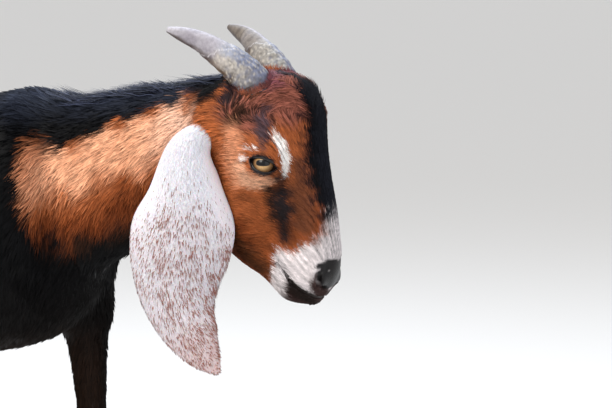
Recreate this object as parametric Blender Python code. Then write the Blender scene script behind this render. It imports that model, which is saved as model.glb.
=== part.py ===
"""A standing young Nubian goat at life size, shaped whole and parted into its pieces.

The goat faces +X, its left is +Y, and it stands on z = 0. Its flesh is a field: a function of
place that is below zero inside the animal. Oval limbs and swellings are blended into one field,
a net is drawn over the place where it is zero, and thin cuts part the net into pieces.
Tables are in units of one millimetre on an animal of the stated height, with x = 0 at the
withers; the finished meshes are in metres, with the origin under the middle of the whole animal.
"""

import math

import bmesh
import bpy
import numpy as np

# Driving dimensions, in metres.
WITHERS_HEIGHT = 0.657
GAP = 0.0003

# One table unit, and how far the withers stand in front of the middle of the animal.
UNIT = WITHERS_HEIGHT / 657
WITHERS_X = 172.0
CLEARANCE = GAP / UNIT

# The trunk from the rump to the breast: x, top, bottom, half width.
TRUNK = [
    (-613, 580, 534, 16),
    (-602, 592, 516, 38),
    (-580, 609, 494, 60),
    (-540, 635, 460, 80),
    (-470, 652, 430, 92),
    (-400, 648, 402, 100),
    (-320, 640, 378, 116),
    (-220, 636, 372, 118),
    (-120, 642, 376, 106),
    (-40, 656, 380, 96),
    (15, 655, 396, 86),
    (46, 617, 424, 66),
    (64, 572, 462, 40),
    (76, 542, 490, 16),
]
# The neck from the breast to the skull: x, z, half depth, half width.
NECK = [
    (24, 556, 88, 60),
    (82, 570, 84, 52),
    (140, 591, 75, 46),
    (190, 611, 61, 42),
    (232, 629, 50, 40),
    (262, 640, 42, 38),
]
# The tail from its root to its tip: x, z, half depth, half width.
TAIL = [
    (-580, 606, 20, 17),
    (-612, 612, 17, 16),
    (-645, 600, 15, 18),
    (-672, 572, 12, 18),
    (-688, 540, 7, 12),
    (-694, 520, 2, 4),
]
# The left limbs from the body down: x, y, z, half depth, half width.
SHOULDER_BLADE = [
    (-15, 40, 628, 34, 22),
    (4, 56, 590, 46, 27),
    (14, 66, 535, 44, 29),
    (25, 70, 490, 34, 28),
]
UPPER_ARM = [
    (23, 70, 482, 32, 27),
    (3, 74, 445, 31, 27),
    (-5, 75, 412, 31, 25),
]
FORELEG = [
    (-4, 74, 425, 31, 24),
    (0, 74, 395, 26, 22),
    (4, 73, 350, 19, 18),
    (8, 72, 290, 16, 15),
    (12, 72, 235, 16.5, 16),
    (15, 72, 212, 19, 18.5),
    (13, 72, 190, 15, 15),
    (11, 72, 165, 12, 12.5),
    (10, 72, 110, 11.5, 12.5),
    (12, 72, 82, 15, 16),
    (18, 72, 60, 13.5, 17),
    (27, 72, 38, 14, 18),
    (34, 72, 22, 16, 19),
    (39, 72, 5, 16, 19),
]
HINDLEG = [
    (-476, 45, 600, 74, 32),
    (-492, 58, 550, 96, 39),
    (-500, 66, 500, 93, 40),
    (-496, 72, 455, 74, 36),
    (-504, 74, 410, 56, 30),
    (-519, 74, 360, 40, 25),
    (-541, 73, 310, 31, 19),
    (-558, 72, 268, 27, 17),
    (-563, 72, 240, 25, 18),
    (-556, 72, 215, 18, 16),
    (-550, 72, 180, 14, 14),
    (-545, 72, 120, 13, 14),
    (-540, 72, 88, 17, 18),
    (-533, 72, 62, 15, 18),
    (-523, 72, 38, 14.5, 19),
    (-516, 72, 22, 16, 19.5),
    (-511, 72, 5, 16, 19.5),
]
ELBOW = (-32, 70, 425)
ELBOW_RADII = (16, 14, 18)
HOCK_POINT = (-582, 71, 262)
HOCK_RADII = (11, 9, 20)

# How far each foot stands from the place the tables give it.
STEP = {
    ("fore", "left"): 15.0,
    ("fore", "right"): -44.0,
    ("hind", "left"): 14.0,
    ("hind", "right"): -10.0,
}
# The limb takes its whole step below the first height and none above the second.
STEP_SPAN = {"fore": (420.0, 500.0), "hind": (300.0, 520.0)}

# The head has its own axes: s runs down the face, y to the left and h out of the forehead.
HEAD_ORIGIN = np.array([272.0, 0.0, 672.0])
FACE_SLOPE = math.radians(72)
DOWN_FACE = np.array([math.cos(FACE_SLOPE), 0.0, -math.sin(FACE_SLOPE)])
OUT_OF_FACE = np.array([math.sin(FACE_SLOPE), 0.0, math.cos(FACE_SLOPE)])
# The skull from the poll to the lips: s, front, back, half width.
SKULL = [
    (-14, 6, -26, 14),
    (-6, 30, -46, 34),
    (6, 49, -52, 45),
    (22, 59, -57, 50),
    (45, 63, -61, 50),
    (70, 58, -66, 47),
    (95, 53.5, -74, 43),
    (120, 50.5, -80, 39),
    (145, 48, -78, 35),
    (165, 44.5, -65, 31),
    (185, 40, -46, 28),
    (203, 32, -35, 26),
    (214, 22, -28, 22),
    (222, 11, -15, 14),
    (226, 3, -5, 7),
]
# Swellings on each side of the head: centre, radii, blend reach.
HEAD_SWELLINGS = [
    ((80, 41, 10), (22, 12, 18), 18),
    ((115, 31, -36), (36, 12, 28), 18),
    ((201, 17, 17), (13, 9, 9), 8),
    ((24, 40, -40), (18, 14, 17), 12),
]
# Mouth line, from its corner to the front of the lips: s, h.
MOUTH = [(180, -14), (188, -11), (199, -7), (208, -2), (216, 4), (224, 9), (234, 12)]
MOUTH_HALF_WIDTH = 1.6
MOUTH_DEPTH = 3.5
# The slit of a nostril: s, y, h, half width.
NOSTRIL = [(194, 20, 28, 2.2), (201, 23, 23, 3.2), (208, 19, 18, 3.0), (212, 12, 18, 2.2)]
# Eyes: centre and radius in head axes, the way they look out, and the long way of the lids.
EYE_CENTRE = (80, 37.5, 8)
EYE_RADIUS = 14.5
LID_THICKNESS = 2.5
EYE_OUTWARD = (0.045, 0.95, 0.30)
EYE_LONG = (0.556, 0.0, 0.831)
EYE_HALF_LENGTH = 14.5
UPPER_LID_HEIGHT = 6.2
LOWER_LID_HEIGHT = 8.4
LID_CURVE = 2.6
CORNEA_HEIGHT = 1.3
CORNEA_ANGLE = 0.45

# The left horn from inside the skull to its tip: x, y, z, half depth, half width.
HORN = [
    (289, 26, 666, 20.5, 16),
    (285, 27, 675, 20.5, 16),
    (272, 33, 692, 18, 14),
    (256, 41, 706, 15, 12),
    (237, 50, 719, 11.5, 9.5),
    (217, 58, 727, 7, 6),
    (206, 61.5, 730.5, 3, 2.8),
]
HORN_RINGS = 17
HORN_SIDES = 14
HORN_WAVE = 0.6
HORN_WAVE_LENGTH = 11.0

# The left ear from its root to its tip: x, y, z, width along its curve, angle it is rolled by.
EAR = [
    (246, 34, 642, 62, 5.0),
    (239, 48, 638, 66, 4.9),
    (230, 66, 627, 86, 4.2),
    (231, 78, 605, 87, 3.1),
    (234, 84, 575, 95, 2.3),
    (233, 86, 540, 117, 1.7),
    (229, 86, 510, 112, 1.35),
    (225, 83, 480, 94, 1.1),
    (228, 78, 448, 72, 1.0),
    (242, 74, 422, 52, 0.9),
    (257, 71, 401, 27, 0.8),
    (268, 70, 390, 6, 0.8),
]
EAR_WIDTH_WAY = (0.95, -0.31, 0.0)
EAR_THICKNESS = 3.6
EAR_EDGE = 0.45
EAR_RINGS = 14
EAR_SIDES = 11
# The left ear is laid back along the neck and turned in by these angles, the right one hangs.
EAR_LAID_BACK = {"left": math.radians(33), "right": 0.0}
EAR_TURNED_IN = {"left": math.radians(8), "right": 0.0}
EAR_SOCKET_RINGS = 3
EAR_SOCKET_ROOM = 0.8

# Locks of the longer hair. Those of the nape: x of the first and last root, and their number.
NAPE = (246, 62, 17)
NAPE_SIDES = (0.0, 9.0, -9.0)
NAPE_LOCK = {"length": 52.0, "width": 19.0, "lift": 8.0, "droop": 0.0}
# The tuft before the horns: s and y of each root in the head's axes.
POLL = [(36, -12), (36, 12), (28, 0), (16, -6), (15, 6)]
POLL_LOCK = {"length": 25.0, "width": 12.0, "lift": 3.0, "droop": 6.5}
# The tail's locks: x and z of their roots along its middle line, and how far round its outer
# side each row stands, from the right to the left; and x, y, z of the roots at its tip.
TAIL_ROOTS = [(-622, 610), (-644, 600), (-663, 582), (-678, 560)]
TAIL_ROWS = (-1.4, 0.1, 1.5)
TAIL_TIP = [(-687, -4, 536), (-688, 4, 533), (-691, 0, 526)]
TAIL_LOCK = {"length": 44.0, "width": 17.0, "lift": 5.0, "droop": 7.0}
LOCK_THICKNESS = 5.0
LOCK_SUNK = 3.0
LOCK_RINGS = 4
LOCK_SIDES = 6
LOCK_VARIES = 0.18
LOCK_SWAY = 5.0
SEED = 7

# Cuts between the pieces: a point and the way the cut faces.
HEAD_CUT = ((222, 0, 600), (1, 0, 0))
NECK_CUT = ((25, 0, 655), (0.922, 0, 0.388))
TAIL_CUT = ((-598, 0, 608), (-0.85, 0, 0.53))
# The plug that parts a leg from the trunk: centre x, y, half length, half width, and the height
# of its slanted top at its inner and outer sides.
LEG_PLUG = {
    "fore": (2, 74, 50, 38, 394, 430),
    "hind": (-497, 74, 88, 46, 415, 450),
}
# How far a leg reaches behind and before the middle of its plug.
LEG_REACH = {"fore": (100, 95), "hind": (128, 112)}
PLUG_NARROW_TO = 372
PLUG_WIDE_FROM = 358
PLUG_FLARE = 2.0
TRUNK_FLOOR = 345

# Feet: where each heel stands, the shape of a claw seen from above, and the coronet's slant.
HEEL_X = {"fore": 16.0, "hind": -534.0}
FOOT_Y = 72.0
CORONET_HEIGHT = 25.0
CORONET_SLOPE = 0.28
CLEFT = 4.6
CLAW_LENGTH = 46.0
CLAW_WIDTH = 18.5
CLAW_TOP_LENGTH = 31.0
CLAW_TOP_WIDTH = 16.5
CLAW_OUTLINE = [
    (0.00, 0.30), (0.03, 0.72), (0.14, 0.95), (0.34, 1.00), (0.55, 0.96), (0.75, 0.80),
    (0.90, 0.53), (0.98, 0.26), (1.00, 0.08), (0.88, 0.00), (0.60, 0.00), (0.30, 0.00),
    (0.08, 0.04),
]
CLAW_LEVELS = [0.0, 0.12, 0.6, 1.0]
DEWCLAW_ROOT = {"fore": (7.0, 70.0), "hind": (-545.0, 74.0)}
DEWCLAW_SPREAD = 9.5
DEWCLAW_RADIUS = 5.5
DEWCLAW_REACH = (-15.0, 1.5, -14.0)

# Nets: the spacing of each and the number of triangles it is brought down to.
NETS = {
    "torso": (7.0, 2150),
    "neck": (5.0, 620),
    "head": (2.0, 3800),
    "tail": (4.0, 200),
    "leg": (3.6, 620),
}

FAR = 100.0
TAKEN_IN = 0.05
WELD = 3e-6
MARGIN = 60.0
PATH_SPACING = 8.0
STACK_SPACING = 3.0
END_BULGE = 0.35
HALVINGS = 30
NAPE_CEILING = 720.0
POLL_START = 100.0
TAIL_START = 40.0
SIDEWAYS = np.array([0.0, 1.0, 0.0])

COLOURS = {
    "coat_black": (0.018, 0.015, 0.015, 1.0),
    "coat_chestnut": (0.30, 0.115, 0.04, 1.0),
    "coat_brown": (0.05, 0.03, 0.02, 1.0),
    "ear_roan": (0.50, 0.36, 0.30, 1.0),
    "horn_grey": (0.36, 0.33, 0.29, 1.0),
    "eye_amber": (0.35, 0.19, 0.05, 1.0),
    "claw_keratin": (0.06, 0.045, 0.035, 1.0),
}
ROUGHNESS = {"horn_grey": 0.45, "eye_amber": 0.06, "claw_keratin": 0.5}


def unit(vectors):
    """Vectors brought to length one."""
    vectors = np.asarray(vectors, float)
    return vectors / np.linalg.norm(vectors, axis=-1, keepdims=True)


def flowing(rows, spacing=PATH_SPACING):
    """Rows of a table filled in along a smooth curve through them.

    Between two rows the curve is the cubic that leaves each row along the slope of the parabola
    through it and its neighbours.
    """
    rows = np.array(rows, float)
    run = np.linalg.norm(np.diff(rows[:, :3], axis=0), axis=1)[:, None]
    slope = np.diff(rows, axis=0) / run
    share = run[:-1] / (run[:-1] + run[1:])
    inner = slope[:-1] * (1 - share) + slope[1:] * share
    slopes = np.vstack([slope[:1], inner, slope[-1:]])
    filled = [rows[:1]]
    for i, length in enumerate(run[:, 0]):
        count = max(1, round(length / spacing))
        t = np.arange(1, count + 1)[:, None] / count
        filled.append(
            (1 + 2 * t) * (1 - t) ** 2 * rows[i]
            + t * (1 - t) ** 2 * length * slopes[i]
            + t ** 2 * (3 - 2 * t) * rows[i + 1]
            + t ** 2 * (t - 1) * length * slopes[i + 1]
        )
    return np.vstack(filled)


def headings_of(spine):
    """The way a line of points runs at each of them."""
    steps = unit(np.diff(spine, axis=0))
    return unit(np.vstack([steps[:1], steps[:-1] + steps[1:], steps[-1:]]))


def nearest_on(points, spine):
    """For each point, the nearest stretch of a line of points and the share along it."""
    nearest = np.full(len(points), np.inf)
    stretch = np.zeros(len(points), int)
    share = np.zeros(len(points))
    for number, run in enumerate(np.diff(spine, axis=0)):
        away = points - spine[number]
        along = np.clip(away @ run / (run @ run), 0.0, 1.0)
        distance = ((away - along[:, None] * run) ** 2).sum(axis=1)
        closer = distance < nearest
        nearest[closer] = distance[closer]
        stretch[closer] = number
        share[closer] = along[closer]
    return stretch, share


def tube_here(points, path, power, egg, cap):
    """The field of a limb, for points that are close to it.

    Each point is measured from the nearest place on the limb's middle line. There the limb is a
    rounded oval: with a across, b up and c along, the surface is where
    |a / wide|^power + |b / deep|^power + |c / cap|^power is one.
    """
    stretch, share = nearest_on(points, path[:, :3])
    share = share[:, None]
    ring = path[stretch] * (1 - share) + path[stretch + 1] * share
    heading = headings_of(path[:, :3])
    heading = unit(heading[stretch] * (1 - share) + heading[stretch + 1] * share)
    side = unit(SIDEWAYS - heading * heading[:, 1:2])
    up = np.cross(heading, side)
    away = points - ring[:, :3]
    height = (away * up).sum(axis=1)
    across = (away * side).sum(axis=1)
    along = (away * heading).sum(axis=1)
    deep = ring[:, 3]
    blunt = cap * np.minimum(deep, ring[:, 4])
    wide = ring[:, 4] * (1 - egg * np.clip(height / deep, -1, 1))
    level = np.abs(across / wide) ** power + np.abs(height / deep) ** power
    level = (level + np.abs(along / blunt) ** power) ** (1 / power)
    size = np.linalg.norm(away, axis=1) + 1e-6
    return size - size / np.maximum(level, 1e-6)


def tube(points, path, power=2.2, egg=0.0, cap=0.6):
    """The field of a limb of oval rings along a path: below zero inside it."""
    reach = path[:, 3:5].max() + MARGIN
    low = path[:, :3].min(axis=0) - reach
    high = path[:, :3].max(axis=0) + reach
    close = ((points > low) & (points < high)).all(axis=1)
    value = np.full(len(points), FAR)
    if close.any():
        value[close] = tube_here(points[close], path, power, egg, cap)
    return value


def stacked(points, table, power, egg):
    """The field of a body of upright oval sections set one after another along its first axis.

    A section is a superellipse between its two heights. Past either end of the table the field
    grows with the distance to the end.
    """
    rows = np.array(table, float)
    filled = flowing(np.insert(rows, 1, 0.0, axis=1), STACK_SPACING)
    along, high, low, wide = filled[:, 0], filled[:, 2], filled[:, 3], filled[:, 4]
    place = np.clip(points[:, 0], along[0], along[-1])
    beyond = points[:, 0] - place
    high, low, wide = (np.interp(place, along, column) for column in (high, low, wide))
    deep = (high - low) / 2
    height = points[:, 2] - (high + low) / 2
    blunt = END_BULGE * np.minimum(deep, wide)
    wide = wide * (1 - egg * np.clip(height / deep, -1, 1))
    level = np.abs(points[:, 1] / wide) ** power + np.abs(height / deep) ** power
    level = (level + np.abs(beyond / blunt) ** power) ** (1 / power)
    size = np.sqrt(points[:, 1] ** 2 + height ** 2 + beyond ** 2) + 1e-6
    return size - size / np.maximum(level, 1e-6)


def swelling(points, centre, radii):
    """The field of an ellipsoid."""
    away = points - np.array(centre, float)
    near = np.linalg.norm(away / np.array(radii, float), axis=1) + 1e-9
    steep = np.linalg.norm(away / np.array(radii, float) ** 2, axis=1) + 1e-9
    return near * (near - 1) / steep


def cord(points, stations):
    """The field of a round cord through stations of x, y, z, radius."""
    stations = np.array(stations, float)
    stretch, share = nearest_on(points, stations[:, :3])
    share = share[:, None]
    place = stations[stretch] * (1 - share) + stations[stretch + 1] * share
    return np.linalg.norm(points - place[:, :3], axis=1) - place[:, 3]


def blend(a, b, reach):
    """Two fields joined, with the corner between them filled in over a reach."""
    near = np.maximum(reach - np.abs(a - b), 0.0) / reach
    return np.minimum(a, b) - near ** 2 * reach / 4


def carve(a, b, reach):
    """The first field with the second taken out of it, the edge rounded over a reach."""
    return -blend(-a, b, reach)


def mirrored(rows, side):
    """Rows with y first or second turned to the given side."""
    rows = np.array(rows, float)
    rows[..., 1] *= side
    return rows


def side_of(hand):
    """The sign of y on a hand of the goat."""
    return 1.0 if hand == "left" else -1.0


def stepped(rows, limb, hand):
    """A limb's rows with the step of its foot, which fades out up the limb."""
    rows = np.array(rows, float)
    low, high = STEP_SPAN[limb]
    share = np.clip((high - rows[..., 2]) / (high - low), 0.0, 1.0)
    rows[..., 0] += STEP[limb, hand] * share * share * (3 - 2 * share)
    rows[..., 1] *= side_of(hand)
    return rows


def middle_path(table, spacing=PATH_SPACING):
    """Rings on the midline from a table of x, z, half depth, half width."""
    return flowing([(x, 0, z, deep, wide) for x, z, deep, wide in table], spacing)


def in_head_axes(points):
    """Places measured down the face, to the left and out of the forehead."""
    away = points - HEAD_ORIGIN
    return np.stack([away @ DOWN_FACE, away[:, 1], away @ OUT_OF_FACE], axis=1)


def out_of_head_axes(points):
    """Places in the head's own axes brought back to the goat's."""
    points = np.asarray(points, float)
    return (
        HEAD_ORIGIN
        + points[..., 0:1] * DOWN_FACE
        + points[..., 1:2] * SIDEWAYS
        + points[..., 2:3] * OUT_OF_FACE
    )


def eye_axes(side):
    """The way an eye looks, the long way of its lids and the way up across them."""
    outward = unit(np.array(EYE_OUTWARD) * (1, side, 1))
    long_way = np.array(EYE_LONG)
    long_way = unit(long_way - outward * (long_way @ outward))
    up = np.cross(long_way, outward) * side
    return outward, long_way, up


def lid_opening(points, side):
    """The field of the almond between the lids, from the middle of the eye outward.

    With u along the lids and v across them, the upper lid is the curve
    upper * (1 - |u / length|^curve) and the lower lid the same below.
    """
    outward, long_way, up = eye_axes(side)
    away = points - mirrored(EYE_CENTRE, side)
    u = away @ long_way
    v = away @ up
    bow = 1 - np.abs(u / EYE_HALF_LENGTH) ** LID_CURVE
    almond = np.maximum(v - UPPER_LID_HEIGHT * bow, -v - LOWER_LID_HEIGHT * bow)
    return np.maximum(almond, -(away @ outward))


def mouth_line(points, value):
    """The head's field with the line of the mouth pressed into it."""
    flat = points * (1, 0, 1)
    line = cord(flat, [(s, 0, h, 0) for s, h in MOUTH])
    return np.maximum(value, np.minimum(MOUTH_HALF_WIDTH - line, value + MOUTH_DEPTH))


def head_field(points):
    """The field of the head, for places in the goat's axes."""
    p = in_head_axes(points)
    value = stacked(p, SKULL, power=2.25, egg=0.13)
    for side in (-1, 1):
        for centre, radii, reach in HEAD_SWELLINGS:
            value = blend(value, swelling(p, mirrored(centre, side), radii), reach)
        lids = np.linalg.norm(p - mirrored(EYE_CENTRE, side), axis=1)
        value = blend(value, lids - EYE_RADIUS - LID_THICKNESS, 8)
        value = carve(value, lid_opening(p, side), 1.5)
        value = carve(value, cord(p, mirrored(NOSTRIL, side)), 1.5)
    return mouth_line(p, value)


def limb_field(points, limb, hand):
    """The field of one leg with its shoulder or thigh."""
    if limb == "fore":
        value = tube(points, flowing(stepped(SHOULDER_BLADE, limb, hand)))
        arm = tube(points, flowing(stepped(UPPER_ARM, limb, hand)))
        value = blend(value, arm, 20)
        lower, bump, radii = FORELEG, ELBOW, ELBOW_RADII
    else:
        value = np.full(len(points), FAR)
        lower, bump, radii = HINDLEG, HOCK_POINT, HOCK_RADII
    leg = tube(points, flowing(stepped(lower, limb, hand)))
    knob = swelling(points, stepped(bump, limb, hand), radii)
    return blend(blend(value, leg, 18), knob, 14)


def body_field(points):
    """The field of the whole goat."""
    value = stacked(points, TRUNK, power=2.3, egg=0.15)
    value = blend(value, tube(points, middle_path(NECK)), 50)
    value = blend(value, tube(points, middle_path(TAIL)), 16)
    for hand in ("left", "right"):
        value = blend(value, limb_field(points, "fore", hand), 26)
        value = blend(value, limb_field(points, "hind", hand), 30)
    return blend(value, head_field(points), 24)


def untangled(value):
    """Values at the corners of cells, with no face of a cell crossed twice by the surface.

    Where the inside corners of a face meet only across its diagonal, the outside corner nearest
    the surface is taken in, so that the net stays one sheet.
    """
    for _ in range(6):
        tangles = 0
        for a, b in ((0, 1), (0, 2), (1, 2)):
            one, two = np.eye(3, dtype=int)[[a, b]]
            inside = np.moveaxis(value < 0, (a, b), (0, 1))
            here, both = inside[:-1, :-1], inside[1:, 1:]
            first, second = inside[1:, :-1], inside[:-1, 1:]
            crossed = (here == both) & (first == second) & (here != first)
            for corner in np.argwhere(np.moveaxis(crossed, (0, 1), (a, b))):
                around = [corner, corner + one, corner + two, corner + one + two]
                outside = [tuple(c) for c in around if value[tuple(c)] >= 0]
                if len(outside) == 2:
                    value[min(outside, key=lambda c: value[c])] = -TAKEN_IN
                    tangles += 1
        if not tangles:
            break
    return value


def net_over(field, low, high, step):
    """A net of four-sided faces drawn where a field is zero, inside a box.

    The box is filled with cells. Each cell that the surface passes through has one knot, at the
    mean of the places where the surface crosses the cell's edges, and each crossed edge has a
    face between the four cells about it.
    """
    low = np.array(low, float)
    counts = np.ceil((np.array(high) - low) / step).astype(int) + 1
    ticks = [low[i] + step * np.arange(counts[i]) for i in range(3)]
    places = np.stack(np.meshgrid(*ticks, indexing="ij"), axis=-1).reshape(-1, 3)
    value = field(places).reshape(counts)
    for axis in range(3):
        edge = np.moveaxis(value, axis, 0)
        edge[0] = FAR
        edge[-1] = FAR
    value = untangled(value)
    cells = counts - 1
    total = np.zeros((cells.prod(), 3))
    hits = np.zeros(cells.prod())
    faces = []
    for axis in range(3):
        before = np.moveaxis(np.moveaxis(value, axis, 0)[:-1], 0, axis)
        after = np.moveaxis(np.moveaxis(value, axis, 0)[1:], 0, axis)
        where = np.argwhere((before < 0) != (after < 0))
        first = before[tuple(where.T)]
        second = after[tuple(where.T)]
        place = low + step * where
        place[:, axis] += step * first / (first - second)
        one, two = np.eye(3, dtype=int)[[(axis + 1) % 3, (axis + 2) % 3]]
        around = []
        for shift in (one + two, two, 0 * one, one):
            number = np.ravel_multi_index(tuple((where - shift).T), tuple(cells))
            around.append(number)
            hits += np.bincount(number, minlength=len(hits))
            for k in range(3):
                total[:, k] += np.bincount(number, place[:, k], minlength=len(hits))
        around = np.stack(around, axis=1)
        faces.append(np.where((first < 0)[:, None], around, around[:, ::-1]))
    used = np.flatnonzero(hits)
    knots = total[used] / hits[used][:, None]
    return settle(field, knots, step), np.searchsorted(used, np.vstack(faces))


def settle(field, knots, step):
    """Knots moved along the slope of a field to the place where it is zero."""
    reach = 0.02 * step
    for _ in range(3):
        value = field(knots)
        slope = np.stack(
            [field(knots + reach * way) - value for way in np.eye(3)], axis=1
        ) / reach
        steep = np.maximum((slope ** 2).sum(axis=1), 0.2)
        move = -slope * (value / steep)[:, None]
        close = np.abs(value) < step
        length = np.linalg.norm(move, axis=1)
        move *= np.minimum(1.0, 0.5 * step / np.maximum(length, 1e-9))[:, None]
        knots = knots + move * close[:, None]
    return knots


def material_of(colour):
    """One material for each colour of the animal."""
    material = bpy.data.materials.new(colour)
    material.use_nodes = True
    shader = material.node_tree.nodes["Principled BSDF"]
    shader.inputs["Base Color"].default_value = COLOURS[colour]
    shader.inputs["Roughness"].default_value = ROUGHNESS.get(colour, 0.85)
    return material


def made(name, knots, faces, colour=None):
    """An object from knots in table units, put in its place in metres."""
    mesh = bpy.data.meshes.new(name)
    metres = (np.asarray(knots, float) + (WITHERS_X, 0, 0)) * UNIT
    mesh.from_pydata(metres.tolist(), [], [list(map(int, face)) for face in faces])
    mesh.validate()
    thing = bpy.data.objects.new(name, mesh)
    bpy.context.scene.collection.objects.link(thing)
    if colour:
        mesh.materials.append(material_of(colour))
    return thing


def applied(thing):
    """An object with its modifiers worked into its mesh."""
    graph = bpy.context.evaluated_depsgraph_get()
    finished = bpy.data.meshes.new_from_object(thing.evaluated_get(graph))
    thing.modifiers.clear()
    thing.data = finished
    finished.name = thing.name
    return thing


def thinned(thing, triangles):
    """An object's net brought down to about a number of triangles."""
    now = sum(len(face.vertices) - 2 for face in thing.data.polygons)
    modifier = thing.modifiers.new("thin", "DECIMATE")
    modifier.ratio = min(1.0, triangles / now)
    modifier.use_collapse_triangulate = True
    return applied(thing)


def cut_with(thing, cutter, operation="DIFFERENCE"):
    """An object cut by another, which is then removed."""
    modifier = thing.modifiers.new("cut", "BOOLEAN")
    modifier.operation = operation
    modifier.solver = "EXACT"
    modifier.object = cutter
    applied(thing)
    bpy.data.objects.remove(cutter)
    return thing


def keep_side(thing, cut, sign):
    """An object cut by a plane, keeping the side the cut faces (+1) or the other (-1).

    Each side stops half the clearance short of the plane, and its open end is closed.
    """
    point, normal = cut
    normal = unit(normal)
    place = np.array(point) + sign * normal * CLEARANCE / 2 + (WITHERS_X, 0, 0)
    net = bmesh.new()
    net.from_mesh(thing.data)
    bmesh.ops.bisect_plane(
        net,
        geom=net.verts[:] + net.edges[:] + net.faces[:],
        dist=WELD / 10,
        plane_co=place * UNIT,
        plane_no=normal * -sign,
        clear_outer=True,
    )
    rim = [edge for edge in net.edges if edge.is_boundary]
    bmesh.ops.triangle_fill(net, edges=rim, use_beauty=True, normal=normal * -sign)
    bmesh.ops.recalc_face_normals(net, faces=net.faces[:])
    net.to_mesh(thing.data)
    net.free()
    return thing


def largest_shell(net):
    """The vertices of the largest connected piece of a net."""
    unseen = set(net.verts)
    best = []
    while unseen:
        shell = [unseen.pop()]
        for vert in shell:
            for edge in vert.link_edges:
                other = edge.other_vert(vert)
                if other in unseen:
                    unseen.discard(other)
                    shell.append(other)
        if len(shell) > len(best):
            best = shell
    return set(best)


def tidied(thing):
    """An object as one closed surface of triangles, without slivers or loose bits."""
    net = bmesh.new()
    net.from_mesh(thing.data)
    bmesh.ops.remove_doubles(net, verts=net.verts[:], dist=WELD)
    bmesh.ops.dissolve_degenerate(net, edges=net.edges[:], dist=WELD)
    kept = largest_shell(net)
    loose = [vert for vert in net.verts if vert not in kept]
    bmesh.ops.delete(net, geom=loose, context="VERTS")
    bmesh.ops.triangulate(net, faces=net.faces[:])
    bmesh.ops.recalc_face_normals(net, faces=net.faces[:])
    net.to_mesh(thing.data)
    net.free()
    return thing


def fleshed(name, kind, low, high, colour):
    """A piece of the goat's body inside a box, in its colour, before it is cut."""
    step, triangles = NETS[kind]
    knots, faces = net_over(body_field, low, high, step)
    return thinned(made(name, knots, faces, colour), triangles)


def loft(name, rings, colour=None):
    """A closed surface through rings of the same number of places, with its ends filled."""
    rings = np.asarray(rings, float)
    count, around = rings.shape[:2]
    faces = []
    for i in range(count - 1):
        for j in range(around):
            k = (j + 1) % around
            a, b = i * around + j, i * around + k
            faces.append((a, b, b + around, a + around))
    faces.append(tuple(range(around))[::-1])
    faces.append(tuple(range((count - 1) * around, count * around)))
    return tidied(made(name, rings.reshape(-1, 3), faces, colour))


def sampled(path, count):
    """A path's rows at evenly spaced places along it."""
    length = np.linalg.norm(np.diff(path[:, :3], axis=0), axis=1)
    travelled = np.concatenate([[0.0], np.cumsum(length)])
    wanted = np.linspace(0, travelled[-1], count)
    columns = [np.interp(wanted, travelled, path[:, k]) for k in range(path.shape[1])]
    return np.stack(columns, axis=1), wanted


def on_skin(starts, inward, reach):
    """Where straight lines that start outside the goat meet its skin, found by halving."""
    near = np.zeros(len(starts))
    far = np.full(len(starts), float(reach))
    for _ in range(HALVINGS):
        middle = (near + far) / 2
        inside = body_field(starts + inward * middle[:, None]) < 0
        far = np.where(inside, middle, far)
        near = np.where(inside, near, middle)
    return starts + inward * far[:, None]


def skin_slope(places):
    """The way out of the skin at places on it, as the slope of the field."""
    value = body_field(places)
    return unit(np.stack([body_field(places + way) - value for way in np.eye(3)], axis=1))


def lock_rings(root, lie, out, length, width, rise, sway):
    """The rings of one lock: a flat oval that tapers, lifts off the coat and bends sideways.

    With t from 0 at the root to 1 at the tip, it rises by lift * t^1.5 - droop * t^2, where the
    droop follows the curve of the skin, sways by sway * t^2 and has 1 - 0.85 * t^1.7 of its
    width and thickness.
    """
    lift, droop = rise
    lie = unit(lie - out * (lie @ out))
    across = np.cross(lie, out)
    t = np.linspace(0, 1, LOCK_RINGS)[:, None]
    height = lift * t ** 1.5 - droop * t ** 2 - LOCK_SUNK * (1 - t)
    middle = root + lie * length * t + out * height + across * sway * t ** 2
    size = (1 - 0.85 * t ** 1.7)[:, :, None]
    angles = np.linspace(0, 2 * math.pi, LOCK_SIDES, endpoint=False)[:, None]
    oval = np.cos(angles) * across * width / 2 + np.sin(angles) * out * LOCK_THICKNESS / 2
    return middle[:, None] + oval * size


def locks_at(roots, lies, length, width, lift, droop):
    """Locks rooted on the skin, each a little unlike the next."""
    draw = np.random.default_rng(SEED)
    locks = []
    for root, lie, out in zip(roots, lies, skin_slope(roots)):
        size = 1 + LOCK_VARIES * draw.uniform(-1, 1)
        sway = LOCK_SWAY * draw.uniform(-1, 1)
        rise = (lift * size, droop)
        rings = lock_rings(root, lie, out, length * size, width, rise, sway)
        locks.append(loft("lock", rings))
    return locks


def fused(thing, pieces):
    """An object joined with pieces that are sunk into it, which are then removed."""
    group = bpy.data.collections.new("pieces")
    bpy.context.scene.collection.children.link(group)
    for piece in pieces:
        group.objects.link(piece)
    modifier = thing.modifiers.new("join", "BOOLEAN")
    modifier.operation = "UNION"
    modifier.operand_type = "COLLECTION"
    modifier.solver = "EXACT"
    modifier.collection = group
    applied(thing)
    for piece in pieces:
        bpy.data.objects.remove(piece)
    bpy.data.collections.remove(group)
    return thing


def nape_locks():
    """The low crest of black hair from the poll back to the withers."""
    x = np.linspace(*NAPE)
    y = np.resize(NAPE_SIDES, len(x))
    starts = np.stack([x, y, np.full(len(x), NAPE_CEILING)], axis=1)
    roots = on_skin(starts, np.array([0.0, 0.0, -1.0]), NAPE_CEILING - NECK[0][1])
    lies = np.tile((-1.0, 0.0, 0.0), (len(x), 1))
    return locks_at(roots, lies, **NAPE_LOCK)


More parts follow.
